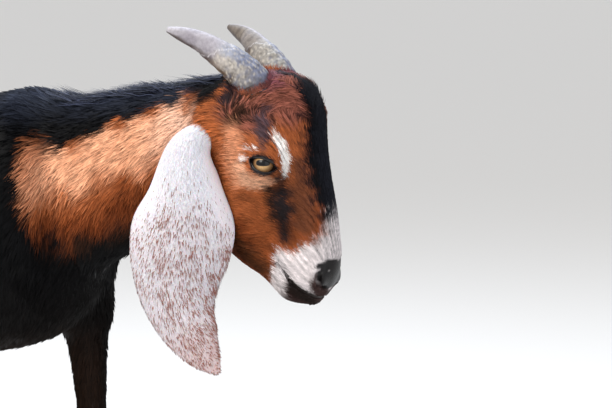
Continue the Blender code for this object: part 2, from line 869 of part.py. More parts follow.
def poll_locks():
    """The tuft that lies up the forehead and between the horns."""
    starts = out_of_head_axes([(s, y, POLL_START) for s, y in POLL])
    roots = on_skin(starts, -OUT_OF_FACE, POLL_START)
    return locks_at(roots, np.tile(-DOWN_FACE, (len(roots), 1)), **POLL_LOCK)


def tail_locks():
    """The longer hair on both sides of the tail and at its tip."""
    middle = np.array([(x, 0.0, z) for x, z in TAIL_ROOTS])
    down = headings_of(middle)
    outer = np.cross(SIDEWAYS, down)
    out = np.vstack([unit(outer + row * SIDEWAYS) for row in TAIL_ROWS])
    middle = np.tile(middle, (len(TAIL_ROWS), 1))
    roots = on_skin(middle + out * TAIL_START, -out, TAIL_START)
    ways = np.tile(down, (len(TAIL_ROWS), 1))
    tip_ways = np.tile(down[-1], (len(TAIL_TIP), 1))
    return locks_at(np.vstack([roots, TAIL_TIP]), np.vstack([ways, tip_ways]), **TAIL_LOCK)


def plug_middle(limb, hand):
    """Where along the body the middle of a leg's plug is."""
    return LEG_PLUG[limb][0] + (STEP[limb, hand] if limb == "fore" else 0.0)


def plug(limb, hand, grow):
    """The solid that parts a leg from the trunk, grown by a clearance on the trunk's side."""
    _, y, half_long, half_wide, inner, outer = LEG_PLUG[limb]
    x = plug_middle(limb, hand)
    angles = np.linspace(0, 2 * math.pi, 28, endpoint=False)
    round_x, round_y = np.cos(angles), np.sin(angles)
    a, b = half_long + grow, half_wide + grow
    slant = (outer - inner) / (2 * half_wide)
    top = (inner + outer) / 2 + slant * b * round_y + grow * math.hypot(1, slant)
    levels = [(1.0, top), (1.0, PLUG_NARROW_TO), (PLUG_FLARE, PLUG_WIDE_FROM), (PLUG_FLARE, -10.0)]
    rings = []
    for flare, level in levels:
        height = np.broadcast_to(level, angles.shape)
        across = y + b * flare * round_y
        rings.append(np.stack([x + a * flare * round_x, across, height], axis=1))
    rings = mirrored(rings, side_of(hand))
    return loft("plug", rings)


def horn_rings(hand, grow=0.0):
    """The rings of a horn, with the low waves of its growth on the lower two thirds."""
    path, travelled = sampled(flowing(mirrored(HORN, side_of(hand))), HORN_RINGS)
    heading = headings_of(path[:, :3])
    angles = np.linspace(0, 2 * math.pi, HORN_SIDES, endpoint=False)
    rings = []
    for row, way, place in zip(path, heading, travelled):
        side = unit(SIDEWAYS - way * way[1])
        up = np.cross(way, side)
        fade = 1 - min(1.0, place / travelled[-1] / 0.7)
        wave = HORN_WAVE * fade * math.sin(2 * math.pi * place / HORN_WAVE_LENGTH)
        deep, wide = row[3] + wave + grow, row[4] + wave + grow
        keel = 1 + 0.07 * np.cos(2 * angles + 0.6)
        around = np.cos(angles)[:, None] * wide * side + np.sin(angles)[:, None] * deep * up
        rings.append(row[:3] + around * keel[:, None])
    rings = np.array(rings)
    rings[0] -= heading[0] * grow
    return rings


def ear_stations(hand):
    """The middle line of an ear with its width, roll and the ways across and out of it."""
    side = side_of(hand)
    path, _ = sampled(flowing(EAR), EAR_RINGS)
    turned, laid = EAR_TURNED_IN[hand], EAR_LAID_BACK[hand]
    turn = np.array([
        [math.cos(turned), -math.sin(turned), 0],
        [math.sin(turned), math.cos(turned), 0],
        [0, 0, 1],
    ]) @ np.array([
        [math.cos(laid), 0, math.sin(laid)],
        [0, 1, 0],
        [-math.sin(laid), 0, math.cos(laid)],
    ])
    root = np.array(EAR[0][:3], float)
    share = np.clip(np.arange(EAR_RINGS) / 4.0, 0, 1)[:, None]
    swung = (path[:, :3] - root) @ turn.T + root
    path[:, :3] = path[:, :3] * (1 - share) + swung * share
    heading = headings_of(path[:, :3])
    across = np.array(EAR_WIDTH_WAY) * (1 - share) + turn @ np.array(EAR_WIDTH_WAY) * share
    across = unit(across - heading * (across * heading).sum(axis=1)[:, None])
    outward = np.cross(across, heading)
    return path, heading, across, outward, side


def ear_rings(hand):
    """The rings of an ear: its outer face from edge to edge, then its inner face back.

    At each station the ear is an arc of a circle whose ends curl towards the head, rolled almost
    into a tube at the root and opening out down its length.
    """
    path, heading, across, outward, side = ear_stations(hand)
    spread = np.linspace(-1, 1, EAR_SIDES)
    rings = []
    for row, wide_way, out_way in zip(path, across, outward):
        width, roll = row[3], row[4]
        radius = width / roll
        angle = (spread * roll / 2)[:, None]
        out = np.sin(angle) * wide_way + np.cos(angle) * out_way
        middle = row[:3] + radius * (out - out_way)
        thin = EAR_THICKNESS / 2 * (1 - (1 - EAR_EDGE) * spread ** 4)
        thin = (thin * min(1.0, width / 30))[:, None]
        rings.append(np.vstack([middle + out * thin, (middle - out * thin)[::-1]]))
    return mirrored(rings, side)


def ear_socket(hand):
    """The round hole that the root of an ear stands in, out to where the ear is clear."""
    path, heading, across, outward, side = ear_stations(hand)
    angles = np.linspace(0, 2 * math.pi, 20, endpoint=False)
    rings = []
    for i in range(EAR_SOCKET_RINGS):
        radius = path[i, 3] / path[i, 4]
        hole = radius + EAR_THICKNESS / 2 + EAR_SOCKET_ROOM
        around = np.cos(angles)[:, None] * across[i] + np.sin(angles)[:, None] * outward[i]
        rings.append(path[i, :3] - outward[i] * radius + around * hole)
    rings[0] = rings[0] - heading[0] * CLEARANCE
    return loft("socket", mirrored(rings, side))


def eye_rings(side, grow=0.0):
    """The rings of an eye: a ball with a low dome over the middle of its front."""
    outward, long_way, up = eye_axes(side)
    away = np.linspace(0.12, math.pi - 0.2, 9)
    angles = np.linspace(0, 2 * math.pi, 16, endpoint=False)
    rings = []
    for tilt in away:
        radius = EYE_RADIUS + grow + CORNEA_HEIGHT * math.exp(-((tilt / CORNEA_ANGLE) ** 2))
        around = np.cos(angles)[:, None] * long_way + np.sin(angles)[:, None] * up
        ring = math.cos(tilt) * outward + math.sin(tilt) * around
        rings.append(mirrored(EYE_CENTRE, side) + radius * ring)
    return out_of_head_axes(rings)


def claw_rings(limb, hand, inner):
    """The rings of a claw from its flat sole up to the coronet."""
    heel = HEEL_X[limb] + STEP[limb, hand]
    coronet = coronet_cut(limb, hand)[0]
    way = -1.0 if inner else 1.0
    rings = []
    for level in CLAW_LEVELS:
        ring = []
        for forward, outward in CLAW_OUTLINE:
            low_x = heel + CLAW_LENGTH * forward
            high_x = heel + 2 + CLAW_TOP_LENGTH * forward
            x = low_x + (high_x - low_x) * level
            width = CLAW_WIDTH + (CLAW_TOP_WIDTH - CLAW_WIDTH) * level
            y = FOOT_Y + way * (CLEFT / 2 + width * outward)
            top = coronet[2] + CORONET_SLOPE * (high_x - coronet[0]) - CLEARANCE
            ring.append((x, y, level * top))
        rings.append(ring)
    return mirrored(rings, side_of(hand))


def coronet_cut(limb, hand):
    """The plane between a leg and its claws."""
    middle = HEEL_X[limb] + STEP[limb, hand] + 2 + CLAW_TOP_LENGTH / 2
    return (middle, FOOT_Y * side_of(hand), CORONET_HEIGHT), (-CORONET_SLOPE, 0, 1)


def dewclaw_rings(limb, hand, inner, grow=0.0):
    """The rings of a dewclaw, a blunt cone behind the fetlock."""
    x, z = DEWCLAW_ROOT[limb]
    way = -1.0 if inner else 1.0
    root = np.array([x + STEP[limb, hand], FOOT_Y + way * DEWCLAW_SPREAD, z])
    reach = np.array(DEWCLAW_REACH) * (1, way, 1)
    heading = unit(reach)
    across = unit(SIDEWAYS - heading * heading[1])
    up = np.cross(heading, across)
    angles = np.linspace(0, 2 * math.pi, 8, endpoint=False)
    rings = []
    for share, size in ((0.0, 1.0), (0.45, 0.95), (0.85, 0.62), (1.0, 0.25)):
        radius = DEWCLAW_RADIUS * size + grow
        around = np.cos(angles)[:, None] * across + np.sin(angles)[:, None] * up
        rings.append(root + reach * share + around * radius)
    rings[0] = rings[0] - heading * grow
    return mirrored(rings, side_of(hand))


def add_torso():
    """The trunk, without its neck, tail and legs."""
    torso = fleshed("torso", "torso", (-720, -140, 320), (150, 140, 700), "coat_black")
    keep_side(torso, NECK_CUT, -1)
    keep_side(torso, TAIL_CUT, -1)
    keep_side(torso, ((0, 0, TRUNK_FLOOR), (0, 0, 1)), 1)
    for limb in ("fore", "hind"):
        for hand in ("left", "right"):
            cut_with(torso, plug(limb, hand, CLEARANCE))
    tidied(torso)


def add_neck():
    """The neck between the trunk and the head."""
    neck = fleshed("neck", "neck", (0, -90, 420), (240, 90, 710), "coat_chestnut")
    fused(neck, nape_locks())
    keep_side(neck, NECK_CUT, 1)
    keep_side(neck, HEAD_CUT, -1)
    for hand in ("left", "right"):
        cut_with(neck, ear_socket(hand))
    tidied(neck)


def add_tail():
    """The tail."""
    tail = fleshed("tail", "tail", (-704, -40, 500), (-580, 40, 640), "coat_black")
    fused(tail, tail_locks())
    keep_side(tail, TAIL_CUT, 1)
    tidied(tail)


def add_head():
    """The head with its sockets for the eyes, horns and ears."""
    head = fleshed("head", "head", (210, -66, 440), (376, 66, 722), "coat_chestnut")
    fused(head, nape_locks() + poll_locks())
    keep_side(head, HEAD_CUT, 1)
    for hand in ("left", "right"):
        side = side_of(hand)
        cut_with(head, loft("socket", eye_rings(side, CLEARANCE)))
        cut_with(head, loft("socket", horn_rings(hand, CLEARANCE)))
        cut_with(head, ear_socket(hand))
    tidied(head)


def add_leg(limb, hand):
    """One leg down to its coronet."""
    x = plug_middle(limb, hand)
    behind, before = LEG_REACH[limb]
    side = side_of(hand)
    low = (x - behind, min(16 * side, 128 * side), -12)
    high = (x + before, max(16 * side, 128 * side), 480)
    leg = fleshed(limb + "leg_" + hand, "leg", low, high, "coat_brown")
    cut_with(leg, plug(limb, hand, 0.0), "INTERSECT")
    keep_side(leg, coronet_cut(limb, hand), 1)
    for inner_claw in (False, True):
        cut_with(leg, loft("socket", dewclaw_rings(limb, hand, inner_claw, CLEARANCE)))
    tidied(leg)


def add_foot(limb, hand):
    """The claws and dewclaws of one foot."""
    for inner in (False, True):
        place = limb + "_" + hand + ("_inner" if inner else "_outer")
        loft("claw_" + place, claw_rings(limb, hand, inner), "claw_keratin")
        loft("dewclaw_" + place, dewclaw_rings(limb, hand, inner), "claw_keratin")


def build():
    """The whole goat."""
    for thing in list(bpy.data.objects):
        bpy.data.objects.remove(thing)
    add_torso()
    add_neck()
    add_tail()
    add_head()
    for hand in ("left", "right"):
        loft("horn_" + hand, horn_rings(hand), "horn_grey")
        loft("ear_" + hand, ear_rings(hand), "ear_roan")
        loft("eye_" + hand, eye_rings(side_of(hand)), "eye_amber")
        for limb in ("fore", "hind"):
            add_leg(limb, hand)
            add_foot(limb, hand)


if __name__ == "__main__":
    build()
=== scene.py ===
"""The looks of a standing young Nubian goat at life size.

One skin and its coat of hair stand for the flesh; the ears, horns, eyes and claws are finer
surfaces of their own. The body's forms are the same field as in the part's source: a function of
place that is below zero inside the animal. Tables are in units of one millimetre with x = 0 at
the withers, and the finished meshes are in metres in the frame's own place.
"""

import math

import bpy
import numpy as np
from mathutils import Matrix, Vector


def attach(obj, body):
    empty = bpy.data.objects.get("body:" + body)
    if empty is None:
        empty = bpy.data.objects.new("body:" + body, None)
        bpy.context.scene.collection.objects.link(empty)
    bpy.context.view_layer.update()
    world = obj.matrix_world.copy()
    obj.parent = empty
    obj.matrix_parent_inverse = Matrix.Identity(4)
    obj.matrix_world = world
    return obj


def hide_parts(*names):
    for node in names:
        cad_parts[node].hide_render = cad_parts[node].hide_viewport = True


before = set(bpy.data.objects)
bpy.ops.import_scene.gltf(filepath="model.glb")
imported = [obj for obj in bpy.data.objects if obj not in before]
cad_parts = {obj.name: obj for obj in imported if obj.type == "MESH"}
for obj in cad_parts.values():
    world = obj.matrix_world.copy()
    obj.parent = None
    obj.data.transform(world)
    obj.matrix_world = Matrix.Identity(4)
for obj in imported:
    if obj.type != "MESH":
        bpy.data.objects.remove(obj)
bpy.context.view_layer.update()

UNIT = 0.001
WITHERS_X = 172.0
# The goat's own ways: towards its head, to its left and up.
ONWARD, SIDEWAYS, UP = np.eye(3)
HANDS = ("left", "right")
LIMBS = ("fore", "hind")

# The forms of the body, as in the part's source. The trunk: x, top, bottom, half width.
TRUNK = [
    (-613, 580, 534, 16),
    (-602, 592, 516, 38),
    (-580, 609, 494, 60),
    (-540, 635, 460, 80),
    (-470, 652, 430, 92),
    (-400, 648, 402, 100),
    (-320, 640, 378, 116),
    (-220, 636, 372, 118),
    (-120, 642, 376, 106),
    (-40, 656, 380, 96),
    (15, 655, 396, 86),
    (46, 617, 424, 66),
    (64, 572, 462, 40),
    (76, 542, 490, 16),
]
# The neck and the tail: x, z, half depth, half width.
NECK = [
    (24, 556, 88, 60),
    (82, 570, 84, 52),
    (140, 591, 75, 46),
    (190, 611, 61, 42),
    (232, 629, 50, 40),
    (262, 640, 42, 38),
]
TAIL = [
    (-580, 606, 20, 17),
    (-612, 612, 17, 16),
    (-645, 600, 15, 18),
    (-672, 572, 12, 18),
    (-688, 540, 7, 12),
    (-694, 520, 2, 4),
]
# The left limbs: x, y, z, half depth, half width.
SHOULDER_BLADE = [
    (-15, 40, 628, 34, 22),
    (4, 56, 590, 46, 27),
    (14, 66, 535, 44, 29),
    (25, 70, 490, 34, 28),
]
UPPER_ARM = [
    (23, 70, 482, 32, 27),
    (3, 74, 445, 31, 27),
    (-5, 75, 412, 31, 25),
]
FORELEG = [
    (-4, 74, 425, 31, 24),
    (0, 74, 395, 26, 22),
    (4, 73, 350, 19, 18),
    (8, 72, 290, 16, 15),
    (12, 72, 235, 16.5, 16),
    (15, 72, 212, 19, 18.5),
    (13, 72, 190, 15, 15),
    (11, 72, 165, 12, 12.5),
    (10, 72, 110, 11.5, 12.5),
    (12, 72, 82, 15, 16),
    (18, 72, 60, 13.5, 17),
    (27, 72, 38, 14, 18),
    (34, 72, 22, 16, 19),
    (39, 72, 5, 16, 19),
]
HINDLEG = [
    (-476, 45, 600, 74, 32),
    (-492, 58, 550, 96, 39),
    (-500, 66, 500, 93, 40),
    (-496, 72, 455, 74, 36),
    (-504, 74, 410, 56, 30),
    (-519, 74, 360, 40, 25),
    (-541, 73, 310, 31, 19),
    (-558, 72, 268, 27, 17),
    (-563, 72, 240, 25, 18),
    (-556, 72, 215, 18, 16),
    (-550, 72, 180, 14, 14),
    (-545, 72, 120, 13, 14),
    (-540, 72, 88, 17, 18),
    (-533, 72, 62, 15, 18),
    (-523, 72, 38, 14.5, 19),
    (-516, 72, 22, 16, 19.5),
    (-511, 72, 5, 16, 19.5),
]
LOWER_LEG = {"fore": FORELEG, "hind": HINDLEG}
# The points of the elbow and the hock: centre and radii.
KNOB = {
    "fore": ((-32, 70, 425), (16, 14, 18)),
    "hind": ((-582, 71, 262), (11, 9, 20)),
}
# How far each foot is set forward, and the heights over which that fades out up the leg.
STEP = {
    ("fore", "left"): 15.0,
    ("fore", "right"): -44.0,
    ("hind", "left"): 14.0,
    ("hind", "right"): -10.0,
}
STEP_SPAN = {"fore": (420.0, 500.0), "hind": (300.0, 520.0)}

# The head's axes: s runs down the face, y to the left and h out of the forehead.
HEAD_ORIGIN = np.array([272.0, 0.0, 672.0])
FACE_SLOPE = math.radians(72)
DOWN_FACE = np.array([math.cos(FACE_SLOPE), 0.0, -math.sin(FACE_SLOPE)])
OUT_OF_FACE = np.array([math.sin(FACE_SLOPE), 0.0, math.cos(FACE_SLOPE)])
HEAD_AXES = np.stack([DOWN_FACE, SIDEWAYS, OUT_OF_FACE])
# The skull: s, top, bottom, half width.
SKULL = [
    (-14, 6, -26, 14),
    (-6, 30, -46, 34),
    (6, 49, -52, 45),
    (22, 59, -57, 50),
    (45, 63, -61, 50),
    (70, 58, -66, 47),
    (95, 53.5, -74, 43),
    (120, 50.5, -80, 39),
    (145, 48, -78, 35),
    (165, 44.5, -65, 31),
    (185, 40, -46, 28),
    (203, 32, -35, 26),
    (214, 22, -28, 22),
    (222, 11, -15, 14),
    (226, 3, -5, 7),
]
# Swellings of socket, cheek, nostril and jaw: centre, radii and the reach of their blend.
HEAD_SWELLINGS = [
    ((80, 41, 10), (22, 12, 18), 18),
    ((115, 31, -36), (36, 12, 28), 18),
    ((201, 17, 17), (13, 9, 9), 8),
    ((24, 40, -40), (18, 14, 17), 12),
]
# The line of the mouth as s, h, and the left nostril as s, y, h, radius.
MOUTH = [(180, -14), (188, -11), (199, -7), (208, -2), (216, 4), (224, 9), (234, 12)]
MOUTH_HALF_WIDTH = 1.6
MOUTH_DEPTH = 3.5
NOSTRIL = [(194, 20, 28, 2.2), (201, 23, 23, 3.2), (208, 19, 18, 3.0), (212, 12, 18, 2.2)]
# The left eye in the head's axes, the almond between its lids and the low dome of its cornea.
EYE_CENTRE = (80, 37.5, 8)
EYE_RADIUS = 14.5
LID_THICKNESS = 2.5
EYE_OUTWARD = (0.045, 0.95, 0.30)
EYE_LONG = (0.556, 0.0, 0.831)
EYE_HALF_LENGTH = 14.5
UPPER_LID_HEIGHT = 6.2
LOWER_LID_HEIGHT = 8.4
LID_CURVE = 2.6
CORNEA_HEIGHT = 1.3
CORNEA_ANGLE = 0.45

# The left horn: x, y, z, half depth, half width.
HORN = [
    (289, 26, 666, 20.5, 16),
    (285, 27, 675, 20.5, 16),
    (272, 33, 692, 18, 14),
    (256, 41, 706, 15, 12),
    (237, 50, 719, 11.5, 9.5),
    (217, 58, 727, 7, 6),
    (206, 61.5, 730.5, 3, 2.8),
]
# The left ear: x, y, z, the width round its curl and the angle of that curl in radians.
EAR = [
    (246, 34, 642, 62, 5.0),
    (239, 48, 638, 66, 4.9),
    (230, 66, 627, 86, 4.2),
    (231, 78, 605, 87, 3.1),
    (234, 84, 575, 95, 2.3),
    (233, 86, 540, 117, 1.7),
    (229, 86, 510, 112, 1.35),
    (225, 83, 480, 94, 1.1),
    (228, 78, 448, 72, 1.0),
    (242, 74, 422, 52, 0.9),
    (257, 71, 401, 27, 0.8),
    (268, 70, 390, 6, 0.8),
]
EAR_WIDTH_WAY = (0.95, -0.31, 0.0)
# The left ear is laid back and turned in, out of the photo's view.
EAR_LAID_BACK = {"left": math.radians(33), "right": 0.0}
EAR_TURNED_IN = {"left": math.radians(8), "right": 0.0}
# The share of the ear's length over which its turn comes in.
EAR_TURN_SHARE = 4.0 / 13.0

# Fields: the value far outside, how far round a limb its field is worked out, the spacing of
# the places filled in along paths and stacks, how blunt a stack's ends are, and the value given
# to a corner that is taken in.
FAR = 100.0
MARGIN = 60.0
PATH_SPACING = 8.0
STACK_SPACING = 3.0
END_BULGE = 0.35
TAKEN_IN = 0.05


def unit(vectors):
    """Vectors brought to length one."""
    vectors = np.asarray(vectors, float)
    return vectors / np.maximum(np.linalg.norm(vectors, axis=-1, keepdims=True), 1e-9)


def ramp(value, low, high):
    """0 below the first value, 1 above the second, and 3t^2 - 2t^3 between them."""
    t = np.clip((np.asarray(value, float) - low) / (high - low), 0.0, 1.0)
    return t * t * (3 - 2 * t)


def mixed(one, other, share):
    """One array moved towards another by a share."""
    return one * (1 - share) + other * share


def squared(ways, to):
    """Ways turned to stand at right angles to others."""
    return unit(ways - to * (ways * to).sum(axis=-1, keepdims=True))


def on_left(points):
    """Places of both sides brought to the left one."""
    return np.stack([points[:, 0], np.abs(points[:, 1]), points[:, 2]], axis=1)


def flowing(rows, spacing=PATH_SPACING):
    """Rows of a table filled in along a smooth curve: between two rows it is the cubic that
    leaves each row along the slope of the parabola through it and its neighbours.
    """
    rows = np.array(rows, float)
    run = np.linalg.norm(np.diff(rows[:, :3], axis=0), axis=1)[:, None]
    slope = np.diff(rows, axis=0) / run
    share = run[:-1] / (run[:-1] + run[1:])
    slopes = np.vstack([slope[:1], mixed(slope[:-1], slope[1:], share), slope[-1:]])
    filled = [rows[:1]]
    for i, length in enumerate(run[:, 0]):
        count = max(1, round(length / spacing))
        t = np.arange(1, count + 1)[:, None] / count
        filled.append(
            (1 + 2 * t) * (1 - t) ** 2 * rows[i]
            + t * (1 - t) ** 2 * length * slopes[i]
            + t ** 2 * (3 - 2 * t) * rows[i + 1]
            + t ** 2 * (t - 1) * length * slopes[i + 1]
        )
    return np.vstack(filled)


def headings_of(spine):
    """The way a line of points runs at each of them."""
    steps = unit(np.diff(spine, axis=0))
    return unit(np.vstack([steps[:1], steps[:-1] + steps[1:], steps[-1:]]))


def nearest_on(points, spine):
    """For each point, the nearest stretch of a line of points and the share along it."""
    nearest = np.full(len(points), np.inf)
    stretch = np.zeros(len(points), int)
    share = np.zeros(len(points))
    for number, run in enumerate(np.diff(spine, axis=0)):
        away = points - spine[number]
        along = np.clip(away @ run / (run @ run), 0.0, 1.0)
        distance = ((away - along[:, None] * run) ** 2).sum(axis=1)
        closer = distance < nearest
        nearest[closer] = distance[closer]
        stretch[closer] = number
        share[closer] = along[closer]
    return stretch, share


def measured_from(points, path):
    """For each point, the ring of a limb nearest to it and how far it lies across, up and along.

    Up is at right angles to the limb and to the goat's own sideways.
    """
    stretch, share = nearest_on(points, path[:, :3])
    share = share[:, None]
    ring = mixed(path[stretch], path[stretch + 1], share)
    heading = headings_of(path[:, :3])
    heading = unit(mixed(heading[stretch], heading[stretch + 1], share))
    side = unit(SIDEWAYS - heading * heading[:, 1:2])
    up = np.cross(heading, side)
    away = points - ring[:, :3]
    parts = [(away * way).sum(axis=1) for way in (side, up, heading)]
    return ring, parts, stretch + share[:, 0]


def oval(parts, radii, power):
    """The field of a superellipse, below zero inside it.

    With a, b and c the parts of the way from its middle, the surface is where
    |a / radius|^power + |b / radius|^power + |c / radius|^power is one.
    """
    level = sum(np.abs(part / radius) ** power for part, radius in zip(parts, radii))
    size = np.sqrt(sum(part ** 2 for part in parts)) + 1e-6
    return size - size / np.maximum(level ** (1 / power), 1e-6)


def tube(points, path, power=2.2, cap=0.6):
    """The field of a limb of rings along a path: the oval of the ring nearest to each point, with
    a across, b up and c along the middle line.
    """
    reach = path[:, 3:5].max() + MARGIN
    low = path[:, :3].min(axis=0) - reach
    high = path[:, :3].max(axis=0) + reach
    close = ((points > low) & (points < high)).all(axis=1)
    value = np.full(len(points), FAR)
    if close.any():
        ring, parts, _ = measured_from(points[close], path)
        deep, wide = ring[:, 3], ring[:, 4]
        value[close] = oval(parts, (wide, deep, cap * np.minimum(deep, wide)), power)
    return value


def stacked(points, table, power, egg):
    """The field of a body of upright oval sections set one after another along its first axis.

    A section is an oval between its two heights, wider below by its egg. Past either end of the
    table the field grows with the distance to the end.
    """
    rows = np.array(table, float)
    filled = flowing(np.insert(rows, 1, 0.0, axis=1), STACK_SPACING)
    along, high, low, wide = filled[:, 0], filled[:, 2], filled[:, 3], filled[:, 4]
    place = np.clip(points[:, 0], along[0], along[-1])
    beyond = points[:, 0] - place
    high, low, wide = (np.interp(place, along, column) for column in (high, low, wide))
    deep = (high - low) / 2
    height = points[:, 2] - (high + low) / 2
    blunt = END_BULGE * np.minimum(deep, wide)
    wide = wide * (1 - egg * np.clip(height / deep, -1, 1))
    return oval((points[:, 1], height, beyond), (wide, deep, blunt), power)


def swelling(points, centre, radii):
    """The field of an ellipsoid."""
    away = points - np.array(centre, float)
    near = np.linalg.norm(away / np.array(radii, float), axis=1) + 1e-9
    steep = np.linalg.norm(away / np.array(radii, float) ** 2, axis=1) + 1e-9
    return near * (near - 1) / steep


def cord(points, stations):
    """The field of a round cord through stations of x, y, z, radius."""
    stations = np.array(stations, float).reshape(-1, 4)
    if len(stations) == 1:
        return np.linalg.norm(points - stations[0, :3], axis=1) - stations[0, 3]
    stretch, share = nearest_on(points, stations[:, :3])
    place = mixed(stations[stretch], stations[stretch + 1], share[:, None])
    return np.linalg.norm(points - place[:, :3], axis=1) - place[:, 3]


def blend(a, b, reach):
    """Two fields joined, with the corner between them filled in over a reach."""
    near = np.maximum(reach - np.abs(a - b), 0.0) / reach
    return np.minimum(a, b) - near ** 2 * reach / 4


def carve(a, b, reach):
    """The first field with the second taken out of it, the edge rounded over a reach."""
    return -blend(-a, b, reach)


def mirrored(rows, side):
    """Rows with y second turned to the given side."""
    rows = np.array(rows, float)
    rows[..., 1] *= side
    return rows


def side_of(hand):
    """The sign of y on a hand of the goat."""
    return 1.0 if hand == "left" else -1.0


def stepped(rows, limb, hand):
    """A limb's rows with the step of its foot, which fades out up the limb."""
    rows = np.array(rows, float)
    low, high = STEP_SPAN[limb]
    rows[..., 0] += STEP[limb, hand] * (1 - ramp(rows[..., 2], low, high))
    rows[..., 1] *= side_of(hand)
    return rows


def middle_path(table, spacing=PATH_SPACING):
    """Rings on the midline from a table of x, z, half depth, half width."""
    return flowing([(x, 0, z, deep, wide) for x, z, deep, wide in table], spacing)


def in_head_axes(points):
    """Places measured down the face, to the left and out of the forehead."""
    return (points - HEAD_ORIGIN) @ HEAD_AXES.T


def out_of_head_axes(points):
    """Places in the head's own axes brought back to the goat's."""
    return HEAD_ORIGIN + np.asarray(points, float) @ HEAD_AXES


def eye_axes(side):
    """The way an eye looks, the long way of its lids and the way up across them."""
    outward = unit(np.array(EYE_OUTWARD) * (1, side, 1))
    long_way = np.array(EYE_LONG)
    long_way = unit(long_way - outward * (long_way @ outward))
    up = np.cross(long_way, outward) * side
    return outward, long_way, up


def lid_opening(points, side):
    """The field of the almond between the lids, from the middle of the eye outward.

    With u along the lids and v across them, the upper lid is the curve
    upper * (1 - |u / length|^curve) and the lower lid the same below.
    """
    outward, long_way, up = eye_axes(side)
    away = points - mirrored(EYE_CENTRE, side)
    u = away @ long_way
    v = away @ up
    bow = 1 - np.abs(u / EYE_HALF_LENGTH) ** LID_CURVE
    almond = np.maximum(v - UPPER_LID_HEIGHT * bow, -v - LOWER_LID_HEIGHT * bow)
    return np.maximum(almond, -(away @ outward))


def from_mouth(places, line=MOUTH):
    """How far places in the head's axes lie from the line of the mouth, seen from the side."""
    return cord(places * (1, 0, 1), [(s, 0, h, 0) for s, h in line])


def head_field(points):
    """The field of the head, for places in the goat's axes."""
    p = in_head_axes(points)
    value = stacked(p, SKULL, power=2.25, egg=0.13)
    for side in (-1, 1):
        for centre, radii, reach in HEAD_SWELLINGS:
            value = blend(value, swelling(p, mirrored(centre, side), radii), reach)
        lids = np.linalg.norm(p - mirrored(EYE_CENTRE, side), axis=1)
        value = blend(value, lids - EYE_RADIUS - LID_THICKNESS, 8)
        value = carve(value, lid_opening(p, side), 1.5)
        value = carve(value, cord(p, mirrored(NOSTRIL, side)), 1.5)
    slot = np.minimum(MOUTH_HALF_WIDTH - from_mouth(p), value + MOUTH_DEPTH)
    return np.maximum(value, slot)


def limb_field(points, limb, hand):
    """The field of one leg with its shoulder or thigh."""
    def part(rows):
        return tube(points, flowing(stepped(rows, limb, hand)))

    value = np.full(len(points), FAR)
    if limb == "fore":
        value = blend(part(SHOULDER_BLADE), part(UPPER_ARM), 20)
    place, radii = KNOB[limb]
    knob = swelling(points, stepped(place, limb, hand), radii)
    return blend(blend(value, part(LOWER_LEG[limb]), 18), knob, 14)


def body_field(points):
    """The field of the whole goat, out to the tips of its short coat."""
    value = stacked(points, TRUNK, power=2.3, egg=0.15)
    value = blend(value, tube(points, middle_path(NECK)), 50)
    value = blend(value, tube(points, middle_path(TAIL)), 16)
    for hand in HANDS:
        value = blend(value, limb_field(points, "fore", hand), 26)
        value = blend(value, limb_field(points, "hind", hand), 30)
    return blend(value, head_field(points), 24)


# The skin: the nets of head, body and legs as low corner, high corner, spacing, and the span
# along an axis over which a net sinks under the next one.
NETS = [
    ((212, -66, 440), (376, 66, 722), 1.7, (0, 226, 214)),
    ((-710, -140, 330), (234, 140, 700), 5.8, (0, 222, 232)),
    ((-660, -112, -12), (110, 112, 348), 4.2, (2, 334, 346)),
]
SINK = 1.4
# A net's field is first worked out at one corner in this many.
COARSE = 4
# How far the tips of the coat stand over the skin: by height on the body, by s on the face. The
# face's depths take over along x, and are less near the eye.
BODY_DEPTH = ((60, 150, 330, 430), (1.0, 1.8, 2.5, 4.5))
FACE_DEPTH = ((0, 40, 110, 190), (3.0, 2.0, 1.3, 0.6))
FACE_FROM = (215, 262)
LID_DEPTH = (16, 30)
# The feet: where each heel stands, the coronet's height and slant, and how far flesh runs on.
HEEL_X = {"fore": 16.0, "hind": -534.0}
FOOT_Y = 72.0
CORONET_HEIGHT = 25.0
CORONET_SLOPE = 0.28
CLAW_TOP_LENGTH = 31.0
FLESH_IN_CLAW = 3.0
FOOT_REACH = 60.0


def coronet_middle(limb, hand):
    """Where the middle of a foot's coronet stands."""
    x = HEEL_X[limb] + STEP[limb, hand] + 2 + CLAW_TOP_LENGTH / 2
    return np.array([x, FOOT_Y * side_of(hand), CORONET_HEIGHT])


def coat_depth(points):
    """How far the skin lies under the tips of the coat."""
    places = in_head_axes(points)
    body = np.interp(points[:, 2], *BODY_DEPTH)
    face = np.interp(places[:, 0], *FACE_DEPTH)
    eye = np.linalg.norm(places * (1, 0, 1) - (EYE_CENTRE[0], 0, EYE_CENTRE[2]), axis=1)
    face = face * (0.35 + 0.65 * ramp(eye, *LID_DEPTH))
    return body + (face - body) * ramp(points[:, 0], *FACE_FROM)


def skin_field(points):
    """The field of the skin: the body's, taken in by the coat's depth and cut at the coronets."""
    value = body_field(points) + coat_depth(points)
    low = points[:, 2] < FOOT_REACH
    for limb in LIMBS:
        for hand in HANDS:
            away = points - coronet_middle(limb, hand)
            here = low & (np.abs(away[:, :2]) < FOOT_REACH).all(axis=1)
            under = CORONET_SLOPE * away[:, 0] - away[:, 2] - FLESH_IN_CLAW
            value[here] = np.maximum(value[here], under[here])
    return value


